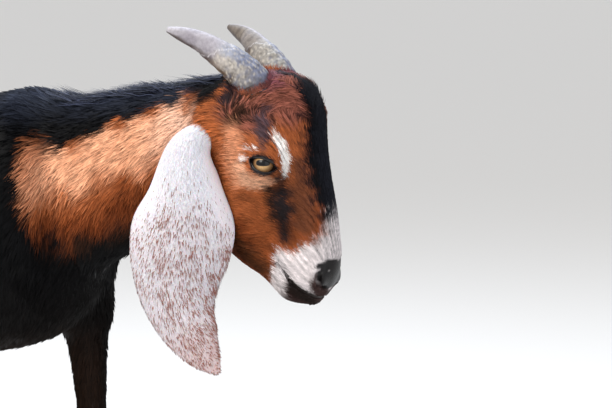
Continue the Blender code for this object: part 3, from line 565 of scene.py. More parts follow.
def in_full_near_surface(field, low, counts, step):
    """A field at the corners of cells: every few corners first, in straight lines between those,
    and worked out in full only where that lies near zero.
    """
    ticks = [np.unique(np.append(np.arange(0, n, COARSE), n - 1)) for n in counts]
    places = np.stack(np.meshgrid(*ticks, indexing="ij"), axis=-1).reshape(-1, 3)
    value = field(low + step * places).reshape([len(t) for t in ticks])
    for axis, tick in enumerate(ticks):
        index = np.arange(counts[axis])
        after = np.clip(np.searchsorted(tick, index, side="right"), 1, len(tick) - 1)
        before = after - 1
        share = (index - tick[before]) / (tick[after] - tick[before])
        share = share.reshape([-1 if k == axis else 1 for k in range(3)])
        value = mixed(np.take(value, before, axis), np.take(value, after, axis), share)
    near = np.argwhere(np.abs(value) < 1.1 * COARSE * step)
    value[tuple(near.T)] = field(low + step * near)
    return value


def untangled(value):
    """Corner values with no face of a cell crossed twice by the surface: where the inside corners
    of a face meet only across its diagonal, the outside corner nearest the surface is taken in.
    """
    for _ in range(6):
        tangles = 0
        for a, b in ((0, 1), (0, 2), (1, 2)):
            one, two = np.eye(3, dtype=int)[[a, b]]
            inside = np.moveaxis(value < 0, (a, b), (0, 1))
            here, both = inside[:-1, :-1], inside[1:, 1:]
            first, second = inside[1:, :-1], inside[:-1, 1:]
            crossed = (here == both) & (first == second) & (here != first)
            for corner in np.argwhere(np.moveaxis(crossed, (0, 1), (a, b))):
                around = [corner, corner + one, corner + two, corner + one + two]
                outside = [tuple(c) for c in around if value[tuple(c)] >= 0]
                if len(outside) == 2:
                    value[min(outside, key=lambda c: value[c])] = -TAKEN_IN
                    tangles += 1
        if not tangles:
            break
    return value


def settle(field, knots, step):
    """Knots moved along the slope of a field to the place where it is zero."""
    reach = 0.02 * step
    for _ in range(3):
        value = field(knots)
        slope = np.stack([field(knots + reach * way) - value for way in np.eye(3)], axis=1) / reach
        steep = np.maximum((slope ** 2).sum(axis=1), 0.05)
        move = -slope * (value / steep)[:, None]
        close = np.abs(value) < step
        length = np.linalg.norm(move, axis=1)
        move *= np.minimum(1.0, 0.5 * step / np.maximum(length, 1e-9))[:, None]
        knots = knots + move * close[:, None]
    return knots


def net_over(field, low, high, step):
    """A net of four-sided faces drawn where a field is zero, inside a box of cells.

    Each cell that the surface passes through has one knot, at the mean of the places where the
    surface crosses the cell's edges, and each crossed edge has a face between the four cells
    about it.
    """
    low = np.array(low, float)
    counts = np.ceil((np.array(high) - low) / step).astype(int) + 1
    value = in_full_near_surface(field, low, counts, step)
    for axis in range(3):
        edge = np.moveaxis(value, axis, 0)
        edge[0] = FAR
        edge[-1] = FAR
    value = untangled(value)
    cells = counts - 1
    total = np.zeros((cells.prod(), 3))
    hits = np.zeros(cells.prod())
    faces = []
    for axis in range(3):
        before = np.moveaxis(np.moveaxis(value, axis, 0)[:-1], 0, axis)
        after = np.moveaxis(np.moveaxis(value, axis, 0)[1:], 0, axis)
        where = np.argwhere((before < 0) != (after < 0))
        first = before[tuple(where.T)]
        second = after[tuple(where.T)]
        place = low + step * where
        place[:, axis] += step * first / (first - second)
        one, two = np.eye(3, dtype=int)[[(axis + 1) % 3, (axis + 2) % 3]]
        around = []
        for shift in (one + two, two, 0 * one, one):
            number = np.ravel_multi_index(tuple((where - shift).T), tuple(cells))
            around.append(number)
            hits += np.bincount(number, minlength=len(hits))
            for k in range(3):
                total[:, k] += np.bincount(number, place[:, k], minlength=len(hits))
        around = np.stack(around, axis=1)
        faces.append(np.where((first < 0)[:, None], around, around[:, ::-1]))
    used = np.flatnonzero(hits)
    knots = total[used] / hits[used][:, None]
    return settle(field, knots, step), np.searchsorted(used, np.vstack(faces))


def skin_net():
    """The nets of the head, body and legs, each sunk a little where it runs under the next, and
    the faces that lie in full view.
    """
    knots, faces, shown, count = [], [], [], 0
    for low, high, step, (axis, start, end) in NETS:
        def sunk(points):
            under = (points[:, axis] - start) / (end - start)
            return skin_field(points) + SINK * ramp(under, 0, 1)

        new_knots, new_faces = net_over(sunk, low, high, step)
        middle = (start + end) / 2
        place = new_knots[new_faces].mean(axis=1)[:, axis]
        shown.append((place - middle) * (end - start) < 0)
        knots.append(new_knots)
        faces.append(new_faces + count)
        count += len(new_knots)
    return np.vstack(knots), np.vstack(faces), np.concatenate(shown)


# Colours of the coat and skin, as sRGB.
BLACK = "#060608"
BLACK_BROWN = "#0d0806"
# Paler hair of the neck's upper side, lightened by a painted sheen.
PEACH_AND_SHEEN = "#f2b28c"
CHESTNUT = "#a85d34"
RUSSET = "#75391a"
UMBER = "#2e1a10"
FOREHEAD = "#8f5546"
BROW = "#4a383d"
CREAM = "#f3ebe8"
FAWN = "#e2ab8a"
SLATE = "#1f191b"
MUZZLE = "#d9d1d2"
LIP = "#1f1613"
LIP_BROWN = "#3c2a28"
NOSE = "#0e0b0c"
EAR_WHITE = "#e6e3ea"
EAR_FLECK = "#8f4a30"
EAR_BLUSH = "#c39a92"
EAR_INSIDE = "#a8857c"
EAR_RIM = "#2a2124"
TAN = "#26170e"
POLL = "#7e4a52"
# A painted highlight on the upper neck towards the head.
NECK_HIGHLIGHT = "#fbd0b8"
TEMPLE = "#d8946f"
NOSE_SIDE = "#6e3f28"
# A painted reflection of the sky: bluish black for the top of the nape and withers.
NAPE_SHEEN = "#2b303e"
DUSKY = "#2c1c20"
PATCH_CREAM = "#fbf6f3"
# A painted sheen: a lighter bluish black for the middle of the face's stripe.
FACE_SHEEN = "#1b1c23"
JAW_BROWN = "#4f2d1a"
# A painted reflection of the sky on the black hair of the crest.
CREST_SHEEN = "#3c4156"

# Edges of the chestnut on the neck's side. Under the black crest: x, z; before the black
# shoulder: z, x; over the dark underside: x, z.
CREST_EDGE = (
    (33, 49, 67, 83, 99, 126, 155, 199, 238, 275),
    (616, 611, 606, 612, 622, 638, 645, 661, 674, 690),
)
SHOULDER_EDGE = ((491, 517, 549, 590, 616), (65, 58, 41, 34, 34))
THROAT_EDGE = ((60, 94, 117, 160, 200, 240), (489, 498, 508, 522, 534, 545))
# The black stripe down the middle of the face: s and its half width.
STRIPE = (
    (-20, 0, 12, 24, 40, 98, 128, 145, 158, 166),
    (0, 2, 8, 15, 20, 21, 18.5, 15, 10, 0),
)
# The white of the muzzle begins at this s, by h, and the dark of the lower lip at this one.
MUZZLE_EDGE = (
    (-45, -31, -26, -19, -11, -6, 2, 10, 20, 27, 35, 41, 46, 52),
    (212, 195, 186, 177, 167, 168, 171, 172, 167, 169, 167, 158, 149, 143),
)
LOWER_LIP_EDGE = ((-45, -18, -16, -11, -9, -3), (222, 212, 207, 200, 195, 188))
# Marks on each side of the head, painted one over another: colour, soft edge, and stations of
# s, y, h and radius.
FACE_MARKS = [
    (FOREHEAD, 14, [(18, 22, 52, 10), (40, 32, 52, 8), (30, 40, 38, 7)]),
    (UMBER, 8, [(31, 50, -8, 3), (24, 50, 3, 4)]),
    (BROW, 7, [(33, 46, 24, 3), (46, 47, 21, 5), (58, 49, 19, 4)]),
    (TEMPLE, 13, [(40, 51, -10, 2), (64, 50, -18, 6), (84, 49, -22, 4)]),
    (DUSKY, 8, [(6, 46, -10, 6), (-4, 40, -4, 8)]),
    (RUSSET, 10, [(130, 46, -34, 5), (146, 40, -38, 7)]),
    (NOSE_SIDE, 9, [(92, 30, 40, 3), (122, 27, 33, 8), (150, 26, 26, 6)]),
    (JAW_BROWN, 14, [(112, 30, -76, 14), (138, 38, -52, 6), (160, 29, -46, 6), (182, 24, -36, 3)]),
    (UMBER, 14, [(96, 32, -78, 14), (120, 30, -80, 6)]),
    (FAWN, 9, [(77, 48, -15, 3), (87, 48, -14, 5), (95, 48, -5, 5), (98, 49, 7, 4)]),
    (FAWN, 5, [(94, 50, -2, 2), (97, 49, 8, 3), (100, 46, 16, 2)]),
    (PATCH_CREAM, 2.5, [
        (53, 42, 31, 1.5), (62, 40.5, 32, 3.6), (74, 40, 33, 4.6), (86, 39.5, 31, 4.6),
        (98, 39.5, 26.5, 2),
    ]),
    (CREAM, 1.5, [(68, 50, -11, 2.4), (70, 53, -4, 2.6)]),
    (CREAM, 1.5, [(74, 53, 0, 1.8)]),
    (CREAM, 1.5, [(58, 51, -2, 2), (61, 52, 2, 2.2)]),
    (CREAM, 1.5, [(62, 53, 9, 2.3)]),
    (UMBER, 10, [(106, 44, 9, 1), (120, 40, 3, 3), (134, 37, 0, 2)]),
    (SLATE, 13, [
        (99, 44, 21, 0), (108, 39, 19, 1), (116, 36, 15, 3), (128, 34, 11, 4.5),
        (143, 33, 6, 1.5), (157, 31, 2, 0),
    ]),
]
# The stripe is painted over the first of these marks, and the rest over the stripe.
OVER_STRIPE = 9
# Marks over the white of the muzzle: the brown upper lip and the two of the nose pad.
WHITE_MARKS = [
    (LIP_BROWN, 7, [(201, 22, 20, 0.5), (209, 23, 17, 3), (216, 15, 16, 5), (223, 3, 12, 6)]),
    (NOSE, 3, [
        (192, 21, 26, 2.5), (195, 17, 30, 5), (201, 19, 26, 5.5), (207, 17, 25, 6.5), (211, 9, 25, 6),
    ]),
    (NOSE, 3.5, [(194, 14, 34, 5), (198, 5, 38, 7), (206, 9, 31, 10), (212, 2, 25, 6)]),
]
NOSE_PAD = WHITE_MARKS[1:]
LIP_LINE = MOUTH[1:]
# The dark skin about the eye: how wide it is, and how far from the eye's middle lids reach.
LID_MARK = 4.5
EYE_REACH = 24.0
# Over this wetness no hair grows.
WET = 0.4
# The whorl of dark and orange arcs about the base of each horn: its middle, the radii over
# which it shows, and the distance from one arc to the next.
WHORL = ((285.0, 30.0, 664.0), (17.0, 46.0), 7.5)


def hexed(colour):
    """An sRGB hex colour as linear red, green and blue."""
    parts = np.array([int(colour[i:i + 2], 16) for i in (1, 3, 5)]) / 255
    return np.where(parts <= 0.04045, parts / 12.92, ((parts + 0.055) / 1.055) ** 2.4)


def ripple(points, length, seed):
    """A soft random value between about -1 and 1, for places in millimetres.

    It is the mean of sine waves of about one length that run in fixed random ways.
    """
    draw = np.random.default_rng(seed)
    ways = unit(draw.normal(size=(9, 3))) * 2 * math.pi / (length * draw.uniform(0.7, 1.5, (9, 1)))
    return np.sin(points @ ways.T + draw.uniform(0, 2 * math.pi, 9)).sum(axis=1) / 4.0


def painted(colours, *layers):
    """Colours, or one colour, moved towards that of each layer in turn by its weight at each
    place.
    """
    if isinstance(colours, str):
        colours = hexed(colours)
    for colour, weight in layers:
        colours = colours + (hexed(colour) - colours) * np.clip(weight, 0, 1)[:, None]
    return colours


def body_colours(points):
    """The coat's colours on the trunk, legs and neck.

    The animal is black, tinted bluish along the top of the nape and withers by a painted reflection of
    the sky. The side of the neck is chestnut inside its three edges; under the crest it is pale,
    partly paler hair and partly a painted sheen and highlight, and it grows darker down to the throat,
    partly darker hair and partly painted shade. The insides of the legs are tan.
    """
    x, y, z = points.T
    wave = 5 * ripple(points, 34, 1) + 2.5 * ripple(points, 9, 2)
    colours = painted(
        BLACK,
        (BLACK_BROWN, ramp(z, 500, 330)),
        # Painted sheen: the top of the nape and withers is tinted bluish, a painted reflection of the
        # sky.
        (NAPE_SHEEN, ramp(z - 0.1 * x, 618, 662) * ramp(x, -60, 40)),
    )
    crest = np.interp(x, *CREST_EDGE)
    throat = np.interp(x, *THROAT_EDGE)
    inside = np.minimum.reduce([crest - z, (x - np.interp(z, *SHOULDER_EDGE)) * 0.9, z - throat])
    drop = (crest - z) / np.maximum(crest - throat, 1) + 0.08 * ripple(points, 40, 3)
    # The band under the crest, where the hair is paler and a painted highlight lies.
    ridge = ramp(drop, -0.02, 0.12) * ramp(drop, 0.60, 0.28)
    neck = painted(
        CHESTNUT,
        # Peach hair with a painted sheen along the band, and a painted highlight further towards the
        # head.
        (PEACH_AND_SHEEN, 0.95 * ridge * ramp(x, 22, 68)),
        (NECK_HIGHLIGHT, 0.8 * ridge * ramp(x, 150, 215)),
        # Darker down to the throat: partly darker hair and partly painted shade.
        (RUSSET, ramp(drop, 0.46, 0.74)),
        (UMBER, ramp(drop, 0.78, 1.0)),
    )
    colours = mixed(colours, neck, ramp(inside + wave, -3, 9)[:, None])
    return painted(colours, (TAN, 0.85 * ramp(z, 420, 350) * ramp(np.abs(y), 78, 60)))


def by_the_lids(place, far, near):
    """1 within one distance of the left eye's opening and 0 past another."""
    eye = np.linalg.norm(place - EYE_CENTRE, axis=1) < EYE_REACH
    return ramp(lid_opening(place, 1), far, near) * eye


def head_colours(points):
    """The coat's colours on the head: chestnut cheeks, a dark forehead and brow, a black stripe down
    the middle of the face with a painted bluish sheen along its middle, cream marks before the eyes
    and a white muzzle.
    """
    p = in_head_axes(points)
    s, y, h = p.T
    place = on_left(p)
    wave = 2.2 * ripple(points, 14, 4) + 1.2 * ripple(points, 5, 5)

    def marks(rows, grain, low):
        return [
            (colour, ramp(cord(place, stations) + wave * grain, soft, low))
            for colour, soft, stations in rows
        ]

    middle, (near, far), apart = WHORL
    away = np.linalg.norm(on_left(points) - middle, axis=1)
    arcs = 0.5 + 0.5 * np.sin(2 * math.pi * away / apart + 2.0 * ripple(points, 16, 8))
    whorl = ramp(away, near - 4, near) * ramp(away, far, far - 12) * ramp(s + 0.5 * h, -4, 10)
    half = np.interp(s, *STRIPE)
    on_top = ramp(h, 25, 38)
    streak = 0.6 * streaks(points, DOWN_FACE * np.ones((len(points), 3)))
    apart = np.abs(y) + 1.6 * wave + 4 * streak
    white = np.interp(h, *MUZZLE_EDGE)
    soft = 4 + 6 * ramp(h, 15, 40)
    dark = np.interp(h, *LOWER_LIP_EDGE)
    mouth = np.interp(s, *np.transpose(MOUTH))
    lip = ramp(s + wave, dark - 7, dark + 6) * ramp(h - mouth, 2.0, -1.0)
    return painted(
        CHESTNUT,
        (RUSSET, ramp(h, -30, -70) * 0.8 + ramp(s, 100, 160) * 0.6),
        (BLACK, ramp(h + s * 0.3 + wave, -12, -26) * ramp(s, 12, -4)),
        (FOREHEAD, whorl),
        (UMBER, whorl * arcs ** 2),
        *marks(FACE_MARKS[:OVER_STRIPE], 1.5, -2),
        (POLL, ramp(s + 0.5 * wave, 18, 0) * ramp(h, 22, 34)),
        (DUSKY, 0.8 * ramp(apart, half + 9, half - 1) * on_top),
        (BLACK, ramp(apart, half + 3, half - 5) * on_top),
        # Painted sheen: the middle of the black stripe is a lighter bluish black.
        (FACE_SHEEN, ramp(np.abs(y) + wave, half + 2, 2) * on_top),
        *marks(FACE_MARKS[OVER_STRIPE:], 0.8, -1),
        (MUZZLE, ramp(s + wave * 1.4 + 5 * streak, white - soft, white + soft)),
        (LIP_BROWN, lip ** 0.5),
        (LIP, lip ** 2 * ramp(mouth - h, 22, 8)),
        *marks(WHITE_MARKS, 0.4, 0),
        (LIP, ramp(from_mouth(p, LIP_LINE), 2.4, 1.0)),
        (SLATE, by_the_lids(place, LID_MARK, LID_MARK * 0.4)),
    )


def coat_colours(points):
    """The colours of skin and coat alike, at places in the goat's axes."""
    share = ramp(points[:, 0] + 0.25 * (points[:, 2] - 600), 222, 246)[:, None]
    return mixed(body_colours(points), head_colours(points), share)


def wetness(points):
    """1 on the bare wet skin of the nose, lips and lids, and 0 on hair."""
    place = on_left(in_head_axes(points))
    lips = ramp(from_mouth(place, LIP_LINE), 2.6, 1.0) * ramp(place[:, 0], 176, 186)
    wet = np.maximum(lips, by_the_lids(place, 2.4, 1.0))
    for _, soft, stations in NOSE_PAD:
        wet = np.maximum(wet, ramp(cord(place, stations), soft * 0.6, -1))
    return wet


# How the coat lies. On the body: x, y, z of a place on the left side, the way its hair runs,
# and the length, width and spacing of its tufts and how far their tips stand over the skin.
BODY_COAT = [
    (0, 0, 656, -1, 0, -0.05, 28, 4.2, 4.4, 6),
    (-150, 0, 643, -1, 0, 0, 26, 4.4, 5.2, 5),
    (-350, 0, 642, -1, 0, 0, 26, 4.4, 5.2, 5),
    (-520, 0, 640, -0.95, 0, -0.3, 26, 4.4, 5.0, 5),
    (-120, 80, 600, -0.95, 0, -0.3, 24, 4.2, 5.0, 4.6),
    (-150, 105, 500, -0.95, 0, -0.3, 24, 4.2, 5.2, 4.6),
    (-150, 80, 410, -0.95, 0, -0.2, 24, 4.2, 5.2, 4.6),
    (-150, 0, 378, -1, 0, 0, 24, 4.2, 5.2, 4.6),
    (-380, 0, 388, -1, 0, 0, 24, 4.2, 5.2, 4.6),
    (-300, 110, 560, -0.9, 0, -0.4, 24, 4.2, 5.2, 4.6),
    (-330, 105, 450, -0.9, 0, -0.4, 24, 4.2, 5.2, 4.6),
    (-400, 95, 500, -0.65, 0, -0.75, 22, 4.0, 5.0, 4.6),
    (-410, 80, 420, -0.4, 0, -0.9, 20, 4.0, 4.8, 4.6),
    (-480, 70, 610, -0.8, 0.1, -0.6, 24, 4.2, 5.0, 4.6),
    (-500, 105, 520, -0.4, 0, -0.92, 22, 4.0, 5.0, 4.6),
    (-500, 105, 440, -0.25, 0, -0.97, 19, 3.8, 4.6, 4.4),
    (-590, 40, 560, -0.3, 0.2, -1, 24, 4.0, 4.6, 5),
    (-570, 60, 440, 0.1, 0, -1, 20, 3.8, 4.6, 4.4),
    (-500, 30, 420, 0, 0, -1, 18, 3.8, 4.6, 4),
    (-5, 62, 625, -0.8, 0, -0.6, 24, 3.8, 4.2, 4.8),
    (15, 88, 565, -0.55, 0, -0.85, 22, 3.6, 4.0, 4.6),
    (35, 92, 500, -0.35, 0, -0.93, 20, 3.4, 3.8, 4.4),
    (10, 98, 450, -0.25, 0, -0.97, 17, 3.2, 3.7, 4.2),
    (-45, 88, 440, -0.5, 0, -0.85, 18, 3.4, 4.0, 4.2),
    (70, 0, 530, -0.2, 0, -1, 24, 3.6, 3.8, 5.5),
    (60, 40, 510, -0.2, 0.3, -1, 22, 3.4, 3.7, 5),
    (10, 0, 400, -0.8, 0, -0.5, 22, 3.8, 4.4, 4.8),
    (0, 50, 420, -0.3, 0, -0.95, 16, 3.4, 4.0, 3.8),
    (60, 0, 655, -1, 0, -0.05, 26, 3.0, 3.0, 6),
    (140, 0, 664, -1, 0, 0, 24, 2.6, 2.8, 5.5),
    (215, 0, 676, -1, 0, 0.05, 22, 2.4, 2.6, 5),
    (50, 60, 630, -0.9, 0, -0.45, 22, 3.0, 3.2, 5),
    (100, 40, 630, -0.88, 0, -0.47, 20, 2.6, 2.8, 4.8),
    (60, 70, 585, -0.78, 0, -0.62, 21, 2.9, 3.1, 4.8),
    (100, 50, 585, -0.72, 0, -0.70, 20, 2.6, 2.8, 4.8),
    (70, 60, 535, -0.45, 0, -0.9, 20, 2.8, 3.1, 4.8),
    (110, 42, 530, -0.35, 0, -0.93, 20, 2.6, 2.9, 4.8),
    (110, 0, 495, -0.5, 0, -0.87, 20, 2.8, 3.1, 4.8),
    (165, 38, 640, -0.88, 0, -0.47, 17, 2.3, 2.6, 4.4),
    (165, 46, 605, -0.72, 0, -0.69, 17, 2.3, 2.6, 4.4),
    (165, 38, 560, -0.36, 0, -0.93, 17, 2.3, 2.7, 4.4),
    (215, 36, 650, -0.85, 0, -0.5, 14, 2.0, 2.4, 3.8),
    (215, 42, 620, -0.7, 0, -0.7, 14, 2.0, 2.4, 3.8),
    (215, 30, 580, -0.35, 0, -0.93, 14, 2.1, 2.5, 3.8),
    (190, 0, 545, -0.45, 0, -0.9, 17, 2.3, 2.8, 4.2),
    (10, 96, 390, -0.12, 0, -1, 13, 2.8, 3.3, 2.8),
    (10, 72, 300, 0, 0, -1, 10, 2.4, 3.1, 2.1),
    (15, 72, 212, 0, 0, -1, 8, 2.2, 3.0, 1.7),
    (10, 72, 120, 0, 0, -1, 8, 2.2, 3.0, 1.6),
    (25, 72, 45, 0.35, 0, -0.94, 7, 2.0, 2.8, 1.3),
    (34, 72, 24, 0.3, 0, -1, 6, 1.8, 2.4, 1.2),
    (-515, 95, 370, -0.2, 0, -1, 15, 3.2, 3.8, 3.2),
    (-540, 72, 310, -0.15, 0, -1, 12, 2.8, 3.4, 2.6),
    (-565, 72, 255, 0.05, 0, -1, 9, 2.4, 3.2, 2.0),
    (-548, 72, 150, 0.05, 0, -1, 8, 2.2, 3.0, 1.7),
    (-522, 72, 45, 0.35, 0, -0.94, 7, 2.0, 2.8, 1.3),
    (-515, 72, 24, 0.3, 0, -1, 6, 1.8, 2.4, 1.2),
    (-600, 0, 622, -1, 0, 0.1, 28, 3.6, 3.4, 6),
    (-640, 12, 605, -0.9, 0.1, -0.4, 34, 3.4, 3.0, 7),
    (-668, 14, 578, -0.6, 0.1, -0.8, 38, 3.4, 2.8, 8),
    (-690, 6, 540, -0.2, 0, -1, 36, 3.2, 2.4, 7),
]
# On the head, the same in the head's own axes.
HEAD_COAT = [
    (-8, 0, 20, -0.3, 0, -0.95, 16, 2.3, 2.3, 4.2),
    (8, 0, 50, -0.85, 0, -0.5, 17, 2.3, 2.2, 4.6),
    (28, 0, 61, -1, 0, 0, 15, 2.1, 2.0, 3.8),
    (50, 0, 62, -1, 0, 0.1, 11, 1.9, 1.9, 2.6),
    (30, 28, 54, 0.6, -0.3, 0.4, 12, 2.0, 2.0, 3.2),
    (14, 32, 38, 0.35, -0.4, 0.8, 13, 2.0, 2.0, 3.4),
    (12, 42, 20, -0.1, -0.4, 0.9, 13, 2.0, 2.0, 3.4),
    (20, 50, -2, -0.35, -0.25, 0.9, 13, 2.0, 2.0, 3.4),
    (30, 44, 24, 0, -0.35, 0.93, 12, 2.0, 2.0, 3.0),
    (-4, 26, 32, -0.9, 0, 0.3, 14, 2.0, 2.0, 4.5),
    (47, 42, 36, -0.8, 0.1, -0.35, 9, 1.8, 1.9, 2.2),
    (42, 48, 14, -0.6, 0.1, -0.75, 9, 1.8, 1.9, 2.2),
    (10, 48, -14, -0.6, 0.15, -0.9, 14, 2.1, 2.1, 3.4),
    (14, 46, -30, -0.1, 0.3, -0.95, 13, 2.1, 2.2, 3.2),
    (45, 51, -8, -0.35, 0, -0.93, 10, 1.9, 1.9, 2.3),
    (45, 50, -35, 0.05, 0, -1, 11, 2.0, 2.1, 2.6),
    (58, 49, 12, -0.9, 0.1, -0.4, 6.5, 1.5, 1.7, 1.2),
    (72, 52, -14, -0.2, 0, -1, 8, 1.7, 1.8, 1.7),
    (70, 0, 57, -1, 0, 0, 8, 1.7, 1.8, 1.7),
    (100, 0, 52, -1, 0, 0, 7, 1.6, 1.8, 1.4),
    (135, 0, 49, -1, 0, 0, 6, 1.5, 1.7, 1.1),
    (165, 0, 45, -1, 0, 0, 5, 1.3, 1.6, 0.9),
    (70, 35, 36, -0.9, 0.15, -0.25, 6.5, 1.5, 1.7, 1.3),
    (100, 33, 33, -0.85, 0.1, -0.5, 6.5, 1.5, 1.7, 1.2),
    (92, 46, 20, -0.65, 0.1, -0.7, 5, 1.3, 1.6, 0.9),
    (97, 50, -2, -0.45, 0, -0.9, 7, 1.6, 1.8, 1.4),
    (105, 48, -25, -0.3, 0, -0.95, 9, 1.8, 1.9, 1.9),
    (125, 38, 10, -0.7, 0.1, -0.7, 7, 1.6, 1.8, 1.3),
    (130, 43, -35, -0.35, 0, -0.93, 10, 1.9, 2.0, 2.2),
    (130, 30, -70, -0.3, 0, -0.95, 12, 2.1, 2.2, 2.6),
    (120, 0, -80, -0.6, 0, -0.8, 13, 2.2, 2.4, 2.8),
    (150, 31, 10, -0.8, 0, -0.6, 6, 1.5, 1.7, 1.1),
    (160, 30, -40, -0.55, 0, -0.83, 9, 1.7, 1.9, 1.8),
    (178, 28, 2, -0.9, 0, -0.4, 4.5, 1.3, 1.6, 0.8),
    (185, 0, 41, -1, 0, 0, 4, 1.2, 1.5, 0.7),
    (200, 26, 5, -0.85, 0.1, -0.5, 3.6, 1.1, 1.4, 0.6),
    (218, 10, 8, -0.6, 0.6, -0.5, 3, 1.0, 1.4, 0.5),
    (186, 24, -22, -0.75, 0, -0.65, 7, 1.4, 1.7, 1.3),
    (205, 12, -28, -0.7, 0, -0.7, 9, 1.5, 1.7, 1.8),
    (190, 0, -42, -0.85, 0, -0.5, 10, 1.7, 1.9, 2.2),
    (80, 54, 8, -0.2, 0, -1, 2.6, 0.9, 1.4, 0.3),
]
# How near a row of these tables must be to rule alone, and how far the hair strays from its lie:
# in waves and tuft by tuft.
SOFTENING = 9.0
LIE_WAVE = 0.22
LIE_SCATTER = 0.13


def coat_rows():
    """Both coat tables in the goat's axes: places, ways and the four sizes."""
    body = np.array(BODY_COAT, float)
    head = np.array(HEAD_COAT, float)
    places = np.vstack([body[:, :3], out_of_head_axes(head[:, :3])])
    ways = np.vstack([body[:, 3:6], head[:, 3:6] @ HEAD_AXES])
    return places, unit(ways), np.vstack([body[:, 6:], head[:, 6:]])


def coat_at(points):
    """The lie, length, width, spacing and rise of the coat at places on the body.

    They are the mean of the tables' rows, each weighted by one over (distance^2 + a little)^2,
    with the left side's rows mirrored to the right.
    """
    places, ways, sizes = coat_rows()
    side = np.where(points[:, 1] < 0, -1.0, 1.0)
    mirror = on_left(points)
    squares = (
        (mirror ** 2).sum(axis=1)[:, None] + (places ** 2).sum(axis=1) - 2 * mirror @ places.T
    )
    weight = 1 / (np.maximum(squares, 0) + SOFTENING ** 2) ** 2
    weight /= weight.sum(axis=1, keepdims=True)
    lie = unit(weight @ ways)
    lie[:, 1] *= side
    return lie, weight @ sizes


# A tuft stands for a lock of a few dozen hairs of some 0.07 mm each, which is as fine as the
# render shows. How deep its root is sunk, its thickness as a share of its width, the shares of
# its rise and width half way, and its bend to one side and least bow outward for its length.
TUFT_SUNK = 0.5
TUFT_THICK = 0.22
MID_RISE = 0.62
MID_WIDTH = 0.86
TUFT_BEND = 0.07
TUFT_BOW = 0.04
# A short tuft has a left and a right root, a raised middle and a tip; a long one has a raised
# root and a left, right and raised middle.
SHORT_FACES = np.array([(0, 2, 3), (1, 3, 2), (0, 1, 2), (0, 3, 1)])
LONG_FACES = np.array([
    (0, 3, 4), (0, 4, 1), (0, 2, 5), (0, 5, 3), (1, 4, 5), (1, 5, 2), (0, 1, 2),
    (3, 5, 6), (5, 4, 6), (4, 3, 6),
])
# Each corner's colour is scaled by these: darker at the roots as painted shade between the hairs, and
# lighter at the raised middle and tip as painted light.
SHORT_PAINTED_SHADING = np.array([0.72, 0.72, 1.0, 1.12])
LONG_PAINTED_SHADING = np.array([0.6, 0.6, 0.8, 0.9, 0.9, 1.1, 1.2])
# The coat is this much finer than its tables say, in width and in spacing. Lengths and widths
# then vary at random between these shares, and shades by this much either way.
FINER_WIDTH = 0.62
FINER_SPACING = 0.60
SIZE_SPREAD = (0.8, 1.2)
SHADE_SPREAD = 0.24
LONG_SHADE_SPREAD = 0.13
# Where the face begins, in x, and where the curls of the brow end, in s and away from the middle.
FACE_BEGINS = (224, 250)
CURLS_END = (62, 40)
CURLS_APART = (4, 14)
# Clumps of hair: how much lighter or darker they are, how broad, and the steps along the hair.
CLUMP = 0.22
CLUMP_LENGTH = 3.2
CLUMP_STEPS = 7
CLUMP_REACH = 2.6
# How far corner normals lean to the skin's, how far from its root a tuft takes its colour, and
# each tuft's place in the map for baking.
SMOOTHING = 0.55
COLOUR_SPREAD = 1.4
PATCH = 0.003
SHORT_PATCH = np.array([(-0.5, -0.5), (0.5, -0.5), (0, 0), (0, 0.5)]) * PATCH
LONG_PATCH = np.array([
    (-0.5, -0.5), (0.5, -0.5), (0, -0.5), (-0.5, 0), (0.5, 0), (0, 0), (0, 0.5),
]) * PATCH
SEED = 11

# Cuts between the pieces of the coat, as in the part's source, and the plugs of the legs.
HEAD_CUT_X = 222.0
NECK_CUT = ((25, 0, 655), (0.922, 0, 0.388))
TAIL_CUT = ((-598, 0, 608), (-0.85, 0, 0.53))
LEG_PLUG = {"fore": (2, 74, 50, 38), "hind": (-497, 74, 88, 46)}
LEG_TOP = 425.0
LEG_BELOW = 350.0
TRUNK_LINE = [(-620, 510, 1, 1), (-300, 510, 1, 1), (90, 530, 1, 1)]
HEAD_LINE = [(-30, 0, -5), (120, 0, -14), (230, 0, 2)]


def add_node(tree, kind, inputs=(), **settings):
    """One shader node with its settings; each input is (name or number, value or socket)."""
    made = tree.nodes.new(kind)
    for name, value in settings.items():
        setattr(made, name, value)
    for name, value in dict(inputs).items():
        if isinstance(value, bpy.types.NodeSocket):
            tree.links.new(value, made.inputs[name])
        else:
            made.inputs[name].default_value = value
    return made


def shader_of(name, **constants):
    """A new material's node tree and its main shader, with the shader's constants set."""
    material = bpy.data.materials.new(name)
    material.use_nodes = True
    tree = material.node_tree
    shader = tree.nodes["Principled BSDF"]
    for key, value in constants.items():
        shader.inputs[key.replace("_", " ")].default_value = value
    return material, tree, shader


def rgba(colour):
    """An sRGB hex colour as a linear colour with alpha."""
    return (*hexed(colour), 1.0)


